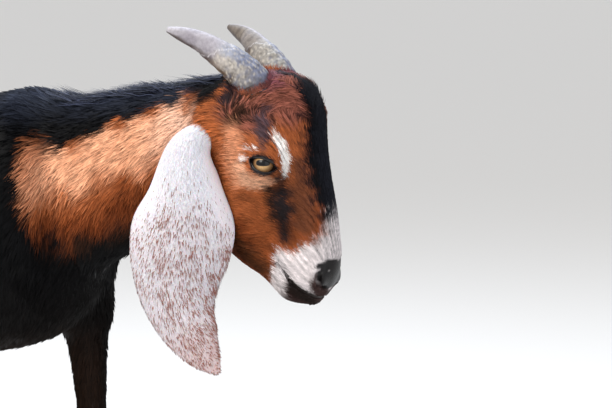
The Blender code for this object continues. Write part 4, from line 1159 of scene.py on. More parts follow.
def mesh_piece(name, corners, faces, material, colours=None, floats=(), patches=None):
    """An object from whole arrays of corners in millimetres and faces of one size."""
    mesh = bpy.data.meshes.new(name)
    metres = (np.asarray(corners, float) + (WITHERS_X, 0, 0)) * UNIT
    faces = np.asarray(faces, np.int32)
    mesh.vertices.add(len(metres))
    mesh.vertices.foreach_set("co", metres.ravel())
    mesh.loops.add(faces.size)
    mesh.loops.foreach_set("vertex_index", faces.ravel())
    mesh.polygons.add(len(faces))
    mesh.polygons.foreach_set("loop_start", np.arange(0, faces.size, faces.shape[1]))
    mesh.polygons.foreach_set("use_smooth", np.ones(len(faces), bool))
    mesh.update(calc_edges=True)
    if colours is not None:
        shade = mesh.attributes.new("coat_colour", "FLOAT_COLOR", "POINT")
        shade.data.foreach_set("color", np.insert(colours, 3, 1.0, axis=1).ravel())
    for label, values in dict(floats).items():
        mesh.attributes.new(label, "FLOAT", "POINT").data.foreach_set("value", values)
    if patches is not None:
        layer = mesh.uv_layers.new(name="OFBake")
        layer.data.foreach_set("uv", patches[faces.ravel()].ravel())
    mesh.materials.append(material)
    thing = bpy.data.objects.new(name, mesh)
    bpy.context.scene.collection.objects.link(thing)
    return thing


def finished(thing, slot, *nodes):
    """A piece put on the frame: it rides on the animal and stands for some nodes, which are hidden.
    Its slot is not used.
    """
    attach(thing, "root")
    if nodes:
        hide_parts(*nodes)
    return thing


def slope_of(points):
    """The way out of the skin at places near it."""
    value = skin_field(points)
    reach = 0.4
    steps = [skin_field(points + reach * way) - value for way in np.eye(3)]
    return unit(np.stack(steps, axis=1)), value


def spread_evenly(total, count, draw):
    """The numbers of cells picked by evenly stepped places along their running total, each of
    them moved a little at random.
    """
    return np.searchsorted(total, (np.arange(count) + draw.random(count)) / count * total[-1])


def scattered(knots, faces, draw):
    """Roots spread over a net as close as the coat's spacing asks.

    Each face counts for its area over the spacing squared, and two random shares pick the place
    in each face that is picked.
    """
    corner = knots[faces]
    cross = np.cross(corner[:, 2] - corner[:, 0], corner[:, 3] - corner[:, 1])
    area = np.linalg.norm(cross, axis=1) / 2
    _, sizes = coat_at(corner.mean(axis=1))
    total = np.cumsum(area / (FINER_SPACING * sizes[:, 2]) ** 2)
    count = int(total[-1])
    picked = corner[spread_evenly(total, count, draw)]
    u, v = draw.random((2, count, 1))
    return mixed(mixed(picked[:, 0], picked[:, 1], u), mixed(picked[:, 3], picked[:, 2], u), v)


def bare(points):
    """Where no hair grows: wet skin, the eyes, the horns' bases and under the coronets."""
    place = on_left(in_head_axes(points))
    none = wetness(points) > WET
    eye = np.linalg.norm(place - EYE_CENTRE, axis=1)
    none |= (lid_opening(place, 1) < 1.6) & (eye < 22)
    none |= (eye < EYE_RADIUS + 0.5)
    none |= cord(place, NOSTRIL) < 1.5
    foot = [(x, y, z, 0.45 * (deep + wide)) for x, y, z, deep, wide in HORN[:3]]
    none |= cord(on_left(points), foot) < -1
    for limb in LIMBS:
        for hand in HANDS:
            away = points - coronet_middle(limb, hand)
            here = (np.abs(away[:, :2]) < FOOT_REACH).all(axis=1)
            none |= here & (CORONET_SLOPE * away[:, 0] - away[:, 2] > -1.5)
    return none


def laid(roots, outs, ways, length, rise):
    """The middles and tips of tufts that follow the skin, half and all the way out to their rise.

    Each place is half a tuft on from the last one along the skin, and is then moved out or in
    along the skin's slope there to its height over the skin.
    """
    places = []
    place, out = roots, outs
    for height in (MID_RISE, 1.0):
        place = place + squared(ways, out) * (0.5 * length)[:, None]
        out, value = slope_of(place)
        lift = np.clip(rise * height - value, -0.6 * length, 0.6 * length)
        place = place + out * lift[:, None]
        places.append(place)
    return places


def unwrapped(points, path, half):
    """Places unrolled about a middle line: u runs along it and v once round it, or on a half from
    the top of the line to its underside.
    """
    _, (across, up, _), place = measured_from(points, path)
    u = place / (len(path) - 1)
    if half:
        turn = np.arctan2(np.abs(across), up) / math.pi
    else:
        turn = np.arctan2(across, up) / (2 * math.pi) + 0.5
    return np.stack([0.01 + 0.98 * u, 0.01 + 0.98 * turn], axis=1)


def tufts(name, roots, outs, ways, middles, tips, width, colours, places, material, long=False):
    """One piece of coat of many tufts, each a thin closed blade that narrows to its tip.

    Its middle stands at least a little over the straight line from root to tip. Corner normals
    lean from the blade's own facets towards the skin's way out, so that the coat shades as one
    smooth surface of fine hair.
    """
    across = unit(np.cross(ways, outs))
    side = across * (width / 2)[:, None]
    ridge = outs * (width * TUFT_THICK)[:, None]
    base = roots - outs * TUFT_SUNK
    chord = tips - base
    up = unit(np.cross(across, chord))
    height = ((middles - base) * up).sum(axis=1)
    least = TUFT_BOW * np.linalg.norm(chord, axis=1)
    middles = middles + up * np.maximum(least - height, 0)[:, None]
    if long:
        kind, shades, patch = LONG_FACES, LONG_PAINTED_SHADING, LONG_PATCH
        corners = [
            base - side, base + side, base + ridge,
            middles - side * MID_WIDTH, middles + side * MID_WIDTH, middles + ridge, tips,
        ]
        lean = [-across, across, 0 * across, -across, across, 0 * across, ways]
    else:
        kind, shades, patch = SHORT_FACES, SHORT_PAINTED_SHADING, SHORT_PATCH
        corners = [base - side, base + side, middles + ridge, tips]
        lean = [-across, across, 0 * across, 0.5 * ways]
    corners = np.stack(corners, axis=1)
    normals = unit(outs[:, None] + (1 - SMOOTHING) * np.stack(lean, axis=1))
    faces = kind + corners.shape[1] * np.arange(len(roots))[:, None, None]
    # Painted shade and light: each corner takes its tuft's colour, darker at the root and lighter
    # towards the tip.
    shades = colours[:, None] * shades[:, None]
    patches = places[:, None] + patch
    thing = mesh_piece(
        name, corners.reshape(-1, 3), faces.reshape(-1, 3), material,
        shades.reshape(-1, 3), patches=patches.reshape(-1, 2),
    )
    thing.data.normals_split_custom_set_from_vertices(normals.reshape(-1, 3))
    return thing


def streaks(points, lie, length=CLUMP_LENGTH, seed=21):
    """A random value drawn out along the lie of the hair: the sum of a fine ripple at places
    before and behind each point, over the root of their number.
    """
    total = np.zeros(len(points))
    for step in np.arange(CLUMP_STEPS) - CLUMP_STEPS // 2:
        total += ripple(points + lie * (step * CLUMP_REACH), length, seed)
    return total / math.sqrt(CLUMP_STEPS)


def hair_shades(colours, draw, clump, spread=LONG_SHADE_SPREAD):
    """Each tuft's own shade: its place's colour, made lighter or darker at random and in clumps."""
    shade = 1 + spread * draw.uniform(-1, 1, len(colours)) + CLUMP * clump
    return colours * np.maximum(shade, 0.3)[:, None]


def parts_of_coat(roots):
    """The name of the coat's piece at each root, by the cuts of the part's source."""
    def beyond(cut):
        return (roots - cut[0]) @ unit(cut[1]) > 0

    x, y, z = roots.T
    hand = np.where(y > 0, "left", "right")
    names = np.char.add("trunk_", hand).astype("U24")
    for limb in LIMBS:
        middle, across, half_long, half_wide = LEG_PLUG[limb]
        oval = ((x - middle) / half_long) ** 2 + ((np.abs(y) - across) / half_wide) ** 2
        leg = ((z < LEG_TOP) & (oval < 1)) | ((z < LEG_BELOW) & (np.abs(x - middle) < 2 * half_long))
        names[leg] = np.char.add(limb + "leg_", hand)[leg]
    neck = beyond(NECK_CUT)
    names[neck] = np.char.add("neck_", hand)[neck]
    head = (x > HEAD_CUT_X) & (z > LEG_TOP)
    names[head] = np.char.add("head_", hand)[head]
    names[beyond(TAIL_CUT)] = "tail"
    return names


def line_of(part):
    """The middle line that a piece of the coat is unrolled about, and whether it is a half."""
    kind, _, hand = part.partition("_")
    if kind == "trunk":
        return middle_path(TRUNK_LINE), True
    if kind == "neck":
        return middle_path(NECK), True
    if kind == "head":
        rows = out_of_head_axes(HEAD_LINE)
        return flowing(np.hstack([rows, np.ones((len(rows), 2))])), True
    if kind == "tail":
        return middle_path(TAIL), False
    limb = kind[:4]
    return flowing(stepped(LOWER_LEG[limb], limb, hand)), False


# The slot of each piece of the coat.
SLOT_OF = {
    "trunk": "coat_black",
    "neck": "coat_chestnut",
    "head": "coat_chestnut",
    "tail": "coat_black",
    "foreleg": "coat_brown",
    "hindleg": "coat_brown",
}


def add_coat(knots, faces, hair):
    """The coat over the whole skin, in pieces named for the parts that they cover."""
    draw = np.random.default_rng(SEED)
    roots = scattered(knots, faces, draw)
    outs, _ = slope_of(roots)
    kept = ~bare(roots)
    roots, outs = roots[kept], outs[kept]
    lie, sizes = coat_at(roots)
    length, width, _, rise = sizes.T * draw.uniform(*SIZE_SPREAD, (4, len(roots)))
    width = width * FINER_WIDTH
    lie = squared(lie, outs)
    across = np.cross(lie, outs)
    turn = LIE_WAVE * ripple(roots, 26, 6) + LIE_SCATTER * draw.normal(size=len(roots))
    ways = unit(lie + across * turn[:, None])
    clump = streaks(roots, lie)
    middles, tips = laid(roots, outs, ways, length, rise * (1 + 0.3 * clump))
    middles = middles + across * (length * TUFT_BEND * draw.uniform(-1, 1, len(roots)))[:, None]
    spread = COLOUR_SPREAD * draw.normal(size=roots.shape) * (0.6 + 0.04 * length)[:, None]
    s, y, _ = in_head_axes(roots).T
    face = ramp(roots[:, 0], *FACE_BEGINS)
    curl = ramp(s, *CURLS_END) * face * ramp(np.abs(y), *CURLS_APART)
    clump = clump * (1 + 1.2 * curl + 0.9 * face)
    colours = hair_shades(coat_colours(middles + spread), draw, clump, SHADE_SPREAD)
    names = parts_of_coat(roots)
    for part in sorted(set(names)):
        here = names == part
        path, half = line_of(part)
        piece = tufts(
            "coat_" + part, roots[here], outs[here], ways[here], middles[here], tips[here],
            width[here], colours[here], unwrapped(roots[here], path, half), hair,
        )
        finished(piece, SLOT_OF[part.partition("_")[0]])


def add_skin(knots, faces, material):
    """The skin of the head, neck, trunk, legs and tail."""
    colours = coat_colours(knots)
    thing = mesh_piece("skin", knots, faces, material, colours, {"wet": wetness(knots)})
    return finished(
        thing, "coat_chestnut", "torso", "neck", "head", "tail",
        "foreleg_left", "foreleg_right", "hindleg_left", "hindleg_right",
    )


# The crest of the nape and the tuft before the horns: number of tufts, and the length, width
# and rise of each. The crest is thin at the gap. Roots drop to the skin from a height over it:
# z over the nape and h over the forehead. The scatter is how far their hair strays from its lie.
NAPE_CREST = (2600, 44.0, 1.7, 11.0)
NAPE_X = (66.0, 250.0)
NAPE_SPREAD = 8.0
NAPE_GAP = 84.0
NAPE_SCATTER = 0.14
ABOVE_NAPE = 740.0
POLL_TUFT = (2200, 20.0, 1.3, 6.5)
POLL_S = (-8.0, 44.0)
POLL_SPREAD = 30.0
POLL_SCATTER = 0.3
ABOVE_POLL = 120.0

# The ears: lines and columns of the sheet, its thickness, and the lines over which it is
# smoothed. Their hair: length, width, spacing and rise on the outer and inner sides.
EAR_LINES = 120
EAR_COLUMNS = 49
EAR_SKIN = 2.0
EAR_SMOOTHED = 7
EAR_COAT = {1: (4.6, 0.85, 1.3, 0.55), -1: (5.0, 1.0, 2.0, 0.6)}
# Hair is shorter where the ear is narrower than this, and none grows on the hidden root.
EAR_FULL_WIDTH = 60.0
EAR_BARE_SHARE = 0.04
# How far the hair fans out to the edges, and the shares of the length where the flecks begin.
EAR_FAN = 0.32
FLECKED_FROM = (0.24, 0.52)

# Horns: rings and sides of the fine surface, and the waves, cracks and step of the sheath.
HORN_RINGS = 130
HORN_SIDES = 72
HORN_WAVE = 0.6
HORN_WAVE_LENGTH = 11.0
HORN_CRACK = 0.35
HORN_STEP = 0.8
# The hair that laps over the foot of each horn.
FRINGE_PER_SIDE = 14
FRINGE_LENGTH = (5.0, 10.0)
FRINGE_WIDTH = 1.1
# A horn's colours along it: share of its length, and the colours of its outer, front, inner
# and under sides.
HORN_COLOURS = [
    (0.00, "#3d3a38", "#474955", "#77726a", "#29221e"),
    (0.12, "#67656a", "#696d82", "#a09d97", "#3a2f27"),
    (0.30, "#a09a94", "#7e8499", "#8f8a82", "#4f4136"),
    (0.48, "#aea6a0", "#a0a3b0", "#86807a", "#5e4d3e"),
    (0.56, "#857f87", "#a9a4ac", "#756c63", "#4c4140"),
    (0.80, "#8c868e", "#aca7af", "#766b60", "#4c4344"),
    (1.00, "#a7a3a9", "#b5b1b8", "#5a5049", "#554d4c"),
]
HORN_EDGE = "#d9d5da"
# Blotches: colour, the shares of the length between which they lie, size and seed. Bars: colour
# and the same shares.
HORN_BLOTCHES = [
    ("#565c74", 0.02, 0.44, 8.0, 35),
    ("#4c443f", 0.0, 0.42, 5.0, 36),
    ("#cfc6b8", 0.1, 0.56, 4.0, 38),
]
HORN_BARS = ("#4f443c", 0.5, 0.9)

# Eyes: rings and sides; the iris, how far it looks up and over which radii it grows brighter;
# half the length and height of its level pupil; and the rims of the lids.
EYE_RINGS = 90
EYE_SIDES = 160
IRIS_RADIUS = 10.6
IRIS_LIFT = 1.2
IRIS_BRIGHT = (9.2, 4.0)
PUPIL = (6.6, 2.8)
IRIS_INNER = "#c9a06c"
IRIS_OUTER = "#85603e"
LIMBUS = "#140e0c"
EYE_WHITE = "#4a3429"
PUPIL_BLACK = "#08070a"
RIM_RADIUS = {"upper": 1.9, "lower": 1.3}
RIM_BLACK = "#120e10"
RIM_SIDES = 12
LASHES = 26
LASH_LENGTH = (5, 8)
LASH_WIDTH = 0.6

# Claws, as in the part's source: the outline of a sole as shares of its length and width.
CLEFT = 4.6
CLAW_LENGTH = 46.0
CLAW_WIDTH = 18.5
CLAW_TOP_WIDTH = 16.5
CLAW_OUTLINE = [
    (0.00, 0.30), (0.03, 0.72), (0.14, 0.95), (0.34, 1.00), (0.55, 0.96), (0.75, 0.80),
    (0.90, 0.53), (0.98, 0.26), (1.00, 0.08), (0.88, 0.00), (0.60, 0.00), (0.30, 0.00),
    (0.08, 0.04),
]
CLAW_LEVELS = 18
DEWCLAW_ROOT = {"fore": (7.0, 70.0), "hind": (-545.0, 74.0)}
DEWCLAW_SPREAD = 9.5
DEWCLAW_RADIUS = 5.5
DEWCLAW_REACH = (-15.0, 1.5, -14.0)
CLAW_DARK = "#2e2723"
CLAW_BAND = "#4c433b"
CLAW_SOLE = "#6b6258"


def sampled(path, count):
    """A path's rows at evenly spaced places along it, and the distance travelled to each."""
    length = np.linalg.norm(np.diff(path[:, :3], axis=0), axis=1)
    travelled = np.concatenate([[0.0], np.cumsum(length)])
    wanted = np.linspace(0, travelled[-1], count)
    columns = [np.interp(wanted, travelled, path[:, k]) for k in range(path.shape[1])]
    return np.stack(columns, axis=1), wanted


def closed(rings):
    """Corners and triangles of a closed surface through rings, with a pole at either end."""
    count, around = rings.shape[:2]
    corners = np.vstack([rings.reshape(-1, 3), rings[0].mean(axis=0), rings[-1].mean(axis=0)])
    i, j = np.meshgrid(np.arange(count - 1), np.arange(around), indexing="ij")
    a = (i * around + j).ravel()
    b = (i * around + (j + 1) % around).ravel()
    j = np.arange(around)
    k = (j + 1) % around
    last = (count - 1) * around
    triangles = np.vstack([
        np.stack([a, b, b + around], axis=1),
        np.stack([a, b + around, a + around], axis=1),
        np.stack([k, j, np.full(around, count * around)], axis=1),
        np.stack([last + j, last + k, np.full(around, count * around + 1)], axis=1),
    ])
    p, q, r = (corners[triangles[:, n]] - corners[0] for n in range(3))
    if (np.cross(p, q) * r).sum() < 0:
        triangles = triangles[:, ::-1]
    return corners, triangles


def dropped(starts, way):
    """Places moved along one way until they meet the skin."""
    places = np.array(starts, float)
    for _ in range(24):
        places = places + way * (0.9 * skin_field(places))[:, None]
    return places


def add_crest(name, roots, way, sizes, scatter, colours, path, material):
    """Longer tufts that stand up a little from their roots and lie one way."""
    draw = np.random.default_rng(SEED + 1)
    outs, _ = slope_of(roots)
    length, width, rise = (size * draw.uniform(0.45, 1.3, len(roots)) for size in sizes)
    rise = rise * (1 + 0.35 * ripple(roots, 16, 19))
    lie = squared(way, outs)
    across = np.cross(lie, outs)
    turn = scatter * draw.normal(size=len(roots)) + LIE_WAVE * ripple(roots, 18, 9)
    ways = unit(lie + across * turn[:, None])
    middles, tips = laid(roots, outs, ways, length, rise)
    tips = tips + across * (length * scatter * 0.6 * draw.normal(size=len(roots)))[:, None]
    shades = hair_shades(colours, draw, streaks(roots, lie))
    places = unwrapped(roots, path, True)
    return tufts(name, roots, outs, ways, middles, tips, width, shades, places, material, True)


def add_crests(material):
    """The black crest down the nape, with a painted bluish sheen, and the tuft before the horns."""
    draw = np.random.default_rng(SEED + 2)
    count, *sizes = NAPE_CREST
    x = draw.uniform(*NAPE_X, count)
    x = x[draw.random(count) < 0.35 + 0.65 * ramp(np.abs(x - NAPE_GAP), 3, 12)]
    count = len(x)
    y = np.clip(draw.normal(0, NAPE_SPREAD, count), -2 * NAPE_SPREAD, 2 * NAPE_SPREAD)
    roots = dropped(np.stack([x, y, np.full(count, ABOVE_NAPE)], axis=1), -UP)
    # Painted sheen: each crest tuft is black, moved at random towards a bluish painted reflection.
    colours = painted(BLACK, (CREST_SHEEN, draw.random(count)))
    path = line_of("neck")[0]
    piece = add_crest("coat_nape", roots, -ONWARD, sizes, NAPE_SCATTER, colours, path, material)
    finished(piece, "coat_black")
    count, *sizes = POLL_TUFT
    s = draw.uniform(*POLL_S, count)
    y = draw.uniform(-1, 1, count) * np.interp(s, POLL_S, (POLL_SPREAD, POLL_SPREAD / 3))
    starts = out_of_head_axes(np.stack([s, y, np.full(count, ABOVE_POLL)], axis=1))
    roots = dropped(starts, -OUT_OF_FACE)
    colours = coat_colours(roots)
    path = line_of("head")[0]
    piece = add_crest("coat_poll", roots, -DOWN_FACE, sizes, POLL_SCATTER, colours, path, material)
    finished(piece, "coat_chestnut")


def smoothed(rows, reach):
    """Rows averaged with their neighbours, each weighted by exp(-(steps apart / reach)^2)."""
    apart = np.arange(-2 * reach, 2 * reach + 1)
    weight = np.exp(-((apart / reach) ** 2))
    padded = np.pad(rows, ((2 * reach, 2 * reach), (0, 0)), "reflect", reflect_type="odd")
    columns = [np.convolve(column, weight / weight.sum(), "valid") for column in padded.T]
    return np.stack(columns, axis=1)


def ear_stations(hand):
    """The middle line of a left ear with its widths, and the ways along, across and out of it."""
    path, _ = sampled(flowing(EAR), EAR_LINES)
    turned, laid_back = EAR_TURNED_IN[hand], EAR_LAID_BACK[hand]
    turn = np.array([
        [math.cos(turned), -math.sin(turned), 0],
        [math.sin(turned), math.cos(turned), 0],
        [0, 0, 1],
    ]) @ np.array([
        [math.cos(laid_back), 0, math.sin(laid_back)],
        [0, 1, 0],
        [-math.sin(laid_back), 0, math.cos(laid_back)],
    ])
    root = np.array(EAR[0][:3], float)
    share = np.clip(np.linspace(0, 1, EAR_LINES) / EAR_TURN_SHARE, 0, 1)[:, None]
    swung = (path[:, :3] - root) @ turn.T + root
    path[:, :3] = smoothed(mixed(path[:, :3], swung, share), EAR_SMOOTHED)
    heading = unit(smoothed(headings_of(path[:, :3]), EAR_SMOOTHED))
    across = squared(mixed(np.array(EAR_WIDTH_WAY), turn @ EAR_WIDTH_WAY, share), heading)
    across = squared(smoothed(across, EAR_SMOOTHED), heading)
    return path, heading, across, np.cross(across, heading)


def ear_sheet(hand):
    """The middle of an ear's skin as a grid of places, with the ways out, along and across it.

    At each station the ear is an arc of a circle whose ends curl towards the head, rolled almost
    into a tube at the root and opening out down its length.
    """
    path, heading, across, outward = ear_stations(hand)
    spread = np.linspace(-1, 1, EAR_COLUMNS)
    angle = (spread[None, :] * path[:, 4:5] / 2)[..., None]
    out = np.sin(angle) * across[:, None] + np.cos(angle) * outward[:, None]
    over = np.cos(angle) * across[:, None] - np.sin(angle) * outward[:, None]
    radius = (path[:, 3] / path[:, 4])[:, None, None]
    middle = path[:, None, :3] + radius * (out - outward[:, None])
    along = np.broadcast_to(heading[:, None], out.shape)
    side = side_of(hand)
    return [mirrored(grid, side) for grid in (middle, out, along, over)]


def ear_marks(share, spread):
    """How likely each hair of an ear's outer side is to be a red-brown fleck."""
    start = ramp(share, *FLECKED_FROM)
    bands = np.exp(-((spread + 0.24) / 0.22) ** 2) + np.exp(-((spread - 0.30) / 0.18) ** 2)
    front = ramp(spread, 0.45, 0.9) * ramp(share, 0.35, 0.55)
    low = ramp(share, 0.72, 0.92)
    waves = np.sin(61 * share + 3 * np.sin(5 * spread)) * np.sin(9 * spread + 17 * share)
    likely = (0.75 + 0.5 * waves) * (0.15 + 0.22 * bands + 0.30 * front + 0.12 * low)
    return np.clip(start * likely, 0, 0.75)


def ear_brown(share, spread):
    """How far the brown hair of the temple runs down over an ear's root, furthest in front."""
    return ramp(share - 0.02 * spread, 0.085, 0.04)


def ear_colours(share, spread, outer, flecks):
    """Colours of an ear: white, blushed towards the tip and flecked, and dusky inside."""
    blush = 0.12 * ramp(share, 0.3, 0.6) + 0.4 * ramp(share, 0.72, 0.95)
    rim = ramp(np.abs(spread), 0.93, 1.0) * ramp(share, 0.45, 0.75)
    return painted(
        EAR_WHITE if outer > 0 else EAR_INSIDE,
        (EAR_BLUSH, blush * (outer > 0)),
        (EAR_FLECK, flecks * (outer > 0)),
        (EAR_RIM, 0.6 * rim),
    )


def ear_hair(outer, middle, out, along, over, thin, width):
    """The hair of one side of an ear, as the arrays that its tufts are made from.

    It is spread evenly over the sheet, runs along it and fans out towards its edges. The brown
    hair of the temple laps over its root.
    """
    length, wide, spacing, rise = EAR_COAT[outer]
    draw = np.random.default_rng(SEED + 5 + outer)
    step_down = np.linalg.norm(np.diff(middle, axis=0), axis=2)[:, :-1]
    step_over = np.linalg.norm(np.diff(middle, axis=1), axis=2)[:-1]
    total = np.cumsum(step_down * step_over)
    count = int(total[-1] / spacing ** 2)
    i, j = np.divmod(spread_evenly(total, count, draw), EAR_COLUMNS - 1)
    u, v = draw.random((2, count, 1))

    def here(grid):
        low = mixed(grid[i, j], grid[i + 1, j], u)
        return mixed(low, mixed(grid[i, j + 1], grid[i + 1, j + 1], u), v)

    share = (i + u[:, 0]) / (EAR_LINES - 1)
    spread = 2 * (j + v[:, 0]) / (EAR_COLUMNS - 1) - 1
    outs = unit(here(out)) * outer
    roots = here(middle) + outs * here(thin)
    fan = EAR_FAN * spread * (1 - 1.3 * spread ** 6)
    fan = fan + LIE_SCATTER * draw.normal(size=count) * (1 - 0.6 * spread ** 6)
    ways = unit(here(along) + here(over) * fan[:, None])
    sizes = draw.uniform(0.75, 1.25, (3, count))
    flecks = (draw.random(count) < ear_marks(share, spread)) * (outer > 0)
    lap = (draw.random(count) < 0.6 * ramp(share, 0.09, 0.05)) * (outer > 0)
    small = np.minimum(1.0, 0.4 + 0.6 * here(width)[:, 0] / EAR_FULL_WIDTH)
    reach = length * sizes[0] * small * (1 + 0.3 * flecks + 2.0 * lap)
    rise = rise * sizes[1] * (1 + 0.8 * flecks + 1.2 * lap)
    middles = roots + ways * (0.5 * reach)[:, None] + outs * (0.6 * rise)[:, None]
    tips = roots + ways * reach[:, None] + outs * rise[:, None]
    wides = wide * sizes[2] * (1 + 0.35 * flecks + 0.5 * lap)
    tints = painted(ear_colours(share, spread, outer, 0.85 * flecks), (TEMPLE, 0.8 * lap))
    tints = tints * (1 + 0.12 * draw.uniform(-1, 1, count))[:, None]
    turn = 0.25 + 0.24 * spread + 0.5 * (outer < 0)
    places = np.stack([0.01 + 0.98 * share, turn], axis=1)
    kept = share > EAR_BARE_SHARE
    return [grid[kept] for grid in (roots, outs, ways, middles, tips, wides, tints, places)]


def add_ear(hand, skin, hair):
    """One ear: a thin sheet of skin that thins out to its edges, and the hair of both sides."""
    middle, out, along, over = ear_sheet(hand)
    grid = out.shape[:2]
    share = np.broadcast_to(np.linspace(0, 1, EAR_LINES)[:, None], grid).ravel()
    spread = np.broadcast_to(np.linspace(-1, 1, EAR_COLUMNS), grid).ravel()
    width = np.linalg.norm(middle[:, 0] - middle[:, -1], axis=1)[:, None]
    thin = EAR_SKIN / 2 * (1 - 0.7 * spread.reshape(grid) ** 8) * np.minimum(1.0, width / 30)
    thin = thin[..., None]
    lift = out * thin
    corners, triangles = closed(np.concatenate([middle + lift, (middle - lift)[:, ::-1]], axis=1))
    shades = []
    for outer in EAR_COAT:
        tints = ear_colours(share, spread, outer, 0.6 * ear_marks(share, spread))
        tints = painted(tints, (TEMPLE, 0.8 * ear_brown(share, spread) * (outer > 0)))
        shades.append(tints.reshape(out.shape)[:, ::outer])
    shades = np.concatenate(shades, axis=1)
    colours = np.vstack([shades.reshape(-1, 3), shades[0].mean(axis=0), shades[-1].mean(axis=0)])
    piece = mesh_piece("ear_skin_" + hand, corners, triangles, skin, colours)
    finished(piece, "ear_roan", "ear_" + hand)
    width = np.broadcast_to(width[..., None], (*grid, 1))
    sides = [ear_hair(outer, middle, out, along, over, thin, width) for outer in EAR_COAT]
    joined = [np.concatenate(pair) for pair in zip(*sides)]
    finished(tufts("coat_ear_" + hand, *joined, hair), "ear_roan")


def add_fringe(hand, rings, heading, hair):
    """Short hair that laps up over the foot of a horn, rooted where the horn leaves the skin."""
    draw = np.random.default_rng(SEED + 15)
    value = skin_field(rings.reshape(-1, 3)).reshape(rings.shape[:2])
    column = np.repeat(np.arange(HORN_SIDES), FRINGE_PER_SIDE)
    row = (value > 0).argmax(axis=0)[column] + draw.integers(-2, 2, len(column))
    row = np.clip(row, 1, HORN_RINGS - 2)
    after = rings[row, (column + 1) % HORN_SIDES]
    roots = rings[row, column] + (after - rings[row, column]) * draw.random((len(column), 1))
    around = unit(after - rings[row, column])
    outs = unit(np.cross(around, rings[row + 1, column] - rings[row - 1, column]))
    outward = roots - rings[row].mean(axis=1)
    outs *= np.sign((outs * outward).sum(axis=1))[:, None]
    ways = unit(heading[row] + 0.7 * around * draw.normal(size=(len(column), 1)))
    length = draw.uniform(*FRINGE_LENGTH, (len(column), 1))
    middles = roots + ways * 0.5 * length + outs * 0.9
    tips = roots + ways * length + outs * draw.uniform(0.6, 2.0, length.shape)
    shades = hair_shades(coat_colours(roots + outs * 2), draw, 0.8 * draw.normal(size=len(column)))
    places = np.stack([0.1 + 0.8 * column / HORN_SIDES, 0.1 + 0.8 * draw.random(len(column))], axis=1)
    wide = np.full(len(column), FRINGE_WIDTH)
    piece = tufts(
        "coat_horn_foot_" + hand, roots, outs, ways, middles, tips, wide, shades, places, hair)
    finished(piece, "coat_chestnut")


def horn_surface(hand):
    """A horn's rings and headings; for each place on them its share t of the length and its angle
    a; and how far the sheath steps in there and how deep a crack is.

    The radii are the table's, plus waves of growth that fade by 0.7 of the length, less the step
    and the cracks, with a low keel of cos(2 a).
    """
    path, travelled = sampled(flowing(mirrored(HORN, side_of(hand))), HORN_RINGS)
    heading = headings_of(path[:, :3])
    side = unit(SIDEWAYS - heading * heading[:, 1:2])
    up = np.cross(heading, side)
    a = np.linspace(0, 2 * math.pi, HORN_SIDES, endpoint=False)[None, :]
    t = (travelled / travelled[-1])[:, None]
    phase = 2 * math.pi * travelled[:, None] / HORN_WAVE_LENGTH + 0.5 * np.sin(2 * a)
    wave = HORN_WAVE * (1 - np.minimum(1.0, t / 0.7)) * np.sin(phase)
    edge = 0.53 + 0.10 * np.sin(a) + 0.015 * np.sin(4 * a) + 0.008 * np.sin(11 * a + 1)
    step = HORN_STEP * ramp(t - edge, 0, 0.01) * ramp(t, 1.0, 0.6)
    crack = np.maximum(0, np.sin(13 * a + 1.6 * np.sin(23 * t) + 0.9 * np.sin(57 * t + 3 * a))) ** 12
    crack = crack * (0.5 + 0.5 * np.sin(31 * t + 5 * np.sin(2 * a)))
    crack = HORN_CRACK * crack * ramp(t, 0.55, 0.35)
    keel = 1 + 0.07 * np.cos(2 * a + 0.6)
    swell = wave - step - crack
    wide = (np.cos(a) * (path[:, 4:5] + swell) * keel)[..., None]
    deep = (np.sin(a) * (path[:, 3:4] + swell) * keel)[..., None]
    rings = path[:, None, :3] + wide * side[:, None] + deep * up[:, None]
    return rings, heading, (t, a, step, crack)


def horn_colours(hand, corners, t, a, step, crack):
    """Four sides of a horn blended round it, blotched below the step and barred above it, with
    a pale worn edge at the step and dark cracks.
    """
    place = t + 0.03 * ripple(corners, 9, 31)
    stops = [row[0] for row in HORN_COLOURS]
    inward = -np.cos(a) * side_of(hand)
    back = np.sin(a) + 0.25 * ripple(corners, 12, 33)
    sides = []
    for column in range(1, 5):
        shade = np.array([hexed(row[column]) for row in HORN_COLOURS])
        sides.append(np.stack([np.interp(place, stops, shade[:, k]) for k in range(3)], axis=1))
    outer, front, inner, under = sides
    ahead = ramp(back, -0.2, -0.75) * ramp(inward, 0.5, 0.0)
    colours = mixed(outer, inner, ramp(inward, -0.3, 0.3)[:, None])
    colours = mixed(colours, front, ahead[:, None])
    colours = mixed(colours, under, ramp(back, 0.05, 0.7)[:, None])
    for colour, start, end, size, seed in HORN_BLOTCHES:
        spot = ramp(ripple(corners, size, seed), 0.1, 0.9) * ramp(t, end, end - 0.1)
        colours = painted(colours, (colour, 0.5 * spot * ramp(t, start - 0.02, start + 0.05)))
    colour, start, end = HORN_BARS
    bars = ramp(np.sin(t * 95 + 2 * ripple(corners, 14, 37)), 0.2, 0.9)
    bars *= ramp(t, start, start + 0.1) * ramp(t, end, end - 0.1)
    worn = np.exp(-((step / HORN_STEP - 0.5) / 0.35) ** 2) * (step > 0.02)
    colours = painted(
        colours,
        (colour, 0.7 * bars * ramp(inward, 0.0, 0.5)),
        (HORN_EDGE, 0.8 * worn * ramp(t, 0.75, 0.65)),
    )
    return colours * (1 - 0.3 * crack / HORN_CRACK)[:, None]


